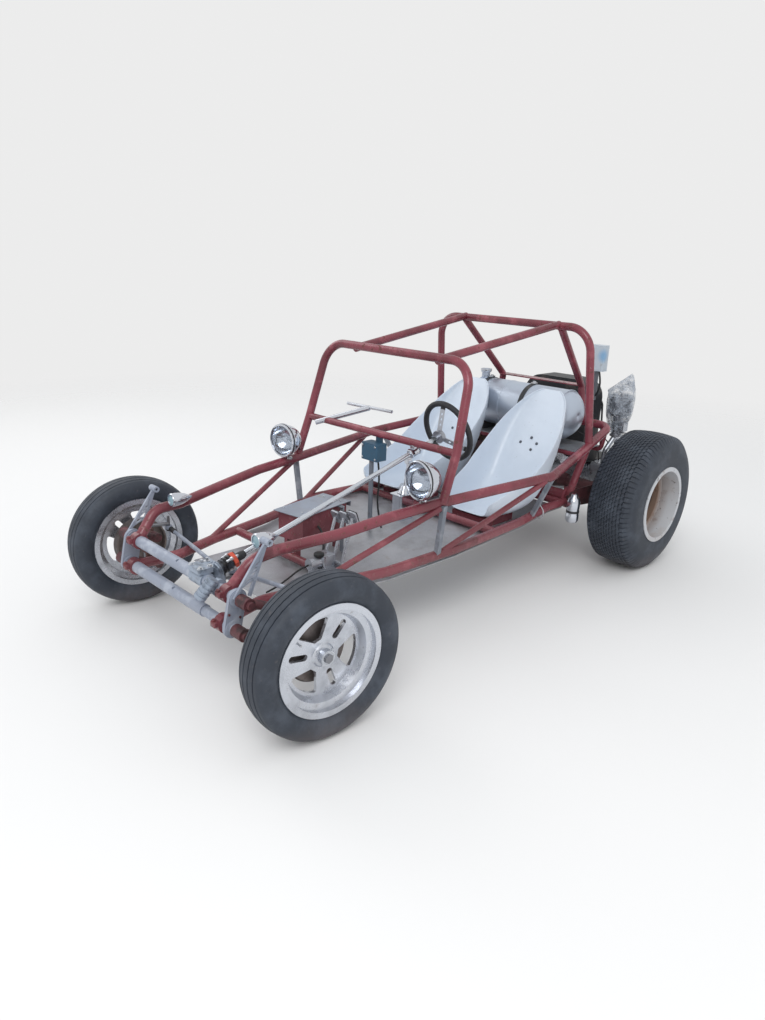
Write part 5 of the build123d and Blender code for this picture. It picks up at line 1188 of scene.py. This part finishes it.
def fan_belt():
    """Belt round the fan's and the crank's pulleys: a half circle on each and straight runs between."""
    angle = np.linspace(0, np.pi, 24)
    halves = []
    for half, radius, height in PULLEYS:
        across, rise = half * radius * np.cos(angle), half * radius * np.sin(angle)
        halves.append(np.stack([across, 0 * angle, height + rise], -1))
    route = (np.concatenate(halves) + (0, FRONT_AXLE_Y + PULLEY_BEHIND, 0)) / 1000
    piece("fan_belt", *looped(route, ((-5, -5), (5, -5), (4, 4), (-4, 4)), BACK), "black_rubber")


def fan():
    """Ring round the shroud's intake, and in it the fan's hub with its slanted blades."""
    ring = ((98, -1), (102, 8), (112, 10), (122, 0), (122, -1))
    piece("fan_intake_ring", *hollow(at(*INTAKE), AHEAD, ring, 64), "black_steel")
    hub = ((97, 0.5), (97, 1.5), (40, 2), (30, 9), (12, 10))
    turnings("fan_hub", [INTAKE], AHEAD, hub, 48, "dark_grey")
    middle = np.array(at(*INTAKE)) + (0, -0.005, 0)
    blades = []
    for a in 2 * np.pi * np.arange(FAN_BLADES) / FAN_BLADES:
        out = np.array((math.cos(a), 0, math.sin(a)))
        slant = np.array((-math.sin(a) * 0.7, -0.7, math.cos(a) * 0.7))
        blades.append(block(middle + 0.069 * out, (54, 12, 2), out, slant))
    fitted("fan_blades", blades, "cast_aluminium")


def engine_bolts():
    """Screws on the back of the shroud and bolts on both valve covers."""
    screws = [(x, 2562, z) for x in (-200, 156) for z in (620, 740, 860)]
    turnings("shroud_screws", screws, BACK, SMALL_HEAD, 8, "bright_bolt")
    for name, side in (("cover_bolts", 1), ("cover_bolts_right", -1)):
        bolts = [(side * 344, back, 415) for back in (2560, 2666)]
        turnings(name, bolts, (side, 0, 0), WASHER_HEAD, 6, "bright_bolt")


def breather_hose():
    """Hose that hangs from the breather bottle's neck."""
    hose("breather_hose", [(226, 2440, 1019), (240, 2436, 980), (242, 2440, 930), (222, 2450, 880),
                           (196, 2456, 858)], 11)


# The pieces, from the wheels to the engine
make_tyres()
for word, side in SIDES:
    rear_wheel_hardware(word, side)
    front_wheel_hardware(word, side)
for word, side in SIDES:
    scoop_seat(word, side)
for word, side in SIDES:
    beam_clamps(word, side)
steering_box_top()
column_coupler()
column_top()
tie_rod_ends("left", 1, 416, UP)
tie_rod_ends("right", -1, 380, (0, 0, -1))
lamp_rings()
lamp_posts()
battery_lid()
pedals()
switches()
cockpit_lines()
seat_bolts()
tank_fittings()
chrome_canister()
rail_hook()
plate_bolts()
air_cleaner_bag()
air_cleaner_tops()
tower_places = distributor()
coil_and_filler()
plug_leads(tower_places)
fan_belt()
fan()
engine_bolts()
breather_hose()

# Light, floor and camera: places in metres, the camera's turn, pitch and roll in degrees
SKY, WHITE = (0.95, 0.975, 1.0, 1), (1, 1, 1, 1)
FLOOR_HALF = 40
SENSOR = 36
PHOTO_HEIGHT_PIXELS = 1020
FOCAL_PIXELS = 731.7
CAMERA_TURNS = (45.07, 18.62, 2.05)
CAMERA_AT = (2.382, -1.431 + FRONT_AXLE_Y / 1000, 1.564)


def floor_finish():
    """Plain pale floor that carries the shadow, and thins out into the background further off."""
    coat = Finish("floor", tone(232, 231, 230), 0.9)
    far = coat.mask("beyond", Centre=(0.0, 0.0, 0.0), Radius=2.6, Edge=5.0)
    coat.varied("Alpha", far, 1.0, 0.0)
    return coat.material


def make_stage():
    """A large pale floor."""
    mesh = bpy.data.meshes.new("floor")
    corners = [(x * FLOOR_HALF, y * FLOOR_HALF, 0) for x, y in ((-1, -1), (1, -1), (1, 1), (-1, 1))]
    mesh.from_pydata(corners, [], [(0, 1, 2, 3)])
    floor = bpy.data.objects.new("floor", mesh)
    bpy.context.scene.collection.objects.link(floor)
    mesh.materials.append(floor_finish())


def make_world(light, shown):
    """Even light on the buggy, and a plain pale background for the camera, reflections and glass."""
    world = bpy.data.worlds.new("studio")
    bpy.context.scene.world = world
    world.use_nodes = True
    nodes, link = world.node_tree.nodes, world.node_tree.links.new
    nodes.clear()
    out, mix = nodes.new("ShaderNodeOutputWorld"), nodes.new("ShaderNodeMixShader")
    lit, seen = nodes.new("ShaderNodeBackground"), nodes.new("ShaderNodeBackground")
    path = nodes.new("ShaderNodeLightPath")
    for background, colour, strength in ((lit, SKY, light), (seen, WHITE, shown)):
        background.inputs["Color"].default_value = colour
        background.inputs["Strength"].default_value = strength
    either, any_ray = nodes.new("ShaderNodeMath"), nodes.new("ShaderNodeMath")
    either.operation = any_ray.operation = "MAXIMUM"
    link(path.outputs["Is Camera Ray"], either.inputs[0])
    link(path.outputs["Is Glossy Ray"], either.inputs[1])
    link(either.outputs[0], any_ray.inputs[0])
    link(path.outputs["Is Transmission Ray"], any_ray.inputs[1])
    link(any_ray.outputs[0], mix.inputs["Fac"])
    link(lit.outputs[0], mix.inputs[1])
    link(seen.outputs[0], mix.inputs[2])
    link(mix.outputs[0], out.inputs["Surface"])


def area_light(name, place, aim, size, power):
    """A large soft lamp pointed at a place."""
    lamp = bpy.data.lights.new(name, "AREA")
    lamp.shape = "DISK"
    lamp.size = size
    lamp.energy = power
    thing = bpy.data.objects.new(name, lamp)
    bpy.context.scene.collection.objects.link(thing)
    thing.location = place
    thing.rotation_euler = (Vector(aim) - Vector(place)).to_track_quat("-Z", "Y").to_euler()


def make_camera():
    """The photograph's viewpoint, solved beforehand: place, turn, pitch, roll and focal length."""
    yaw, pitch, roll = (math.radians(v) for v in CAMERA_TURNS)
    back = Vector((math.sin(yaw) * math.cos(pitch), -math.cos(yaw) * math.cos(pitch), math.sin(pitch)))
    level = Vector((0, 0, 1)).cross(back).normalized()
    high = back.cross(level)
    right = math.cos(roll) * level + math.sin(roll) * high
    up = -math.sin(roll) * level + math.cos(roll) * high
    lens = bpy.data.cameras.new("photo_view")
    lens.sensor_fit = "AUTO"
    lens.sensor_width = SENSOR
    lens.lens = FOCAL_PIXELS * SENSOR / PHOTO_HEIGHT_PIXELS
    view = bpy.data.objects.new("photo_view", lens)
    bpy.context.scene.collection.objects.link(view)
    turn = Matrix((right, up, back)).transposed()
    view.matrix_world = Matrix.Translation(CAMERA_AT) @ turn.to_4x4()
    bpy.context.scene.camera = view


make_stage()
make_world(0.92, 0.84)
area_light("key", (3.5, -4.5, 5.5), (0, 0, 0.4), 4.0, 190)
area_light("fill", (-5.0, -1.0, 4.0), (0, 0, 0.5), 4.0, 60)
make_camera()
bpy.context.scene.view_settings.view_transform = "Standard"
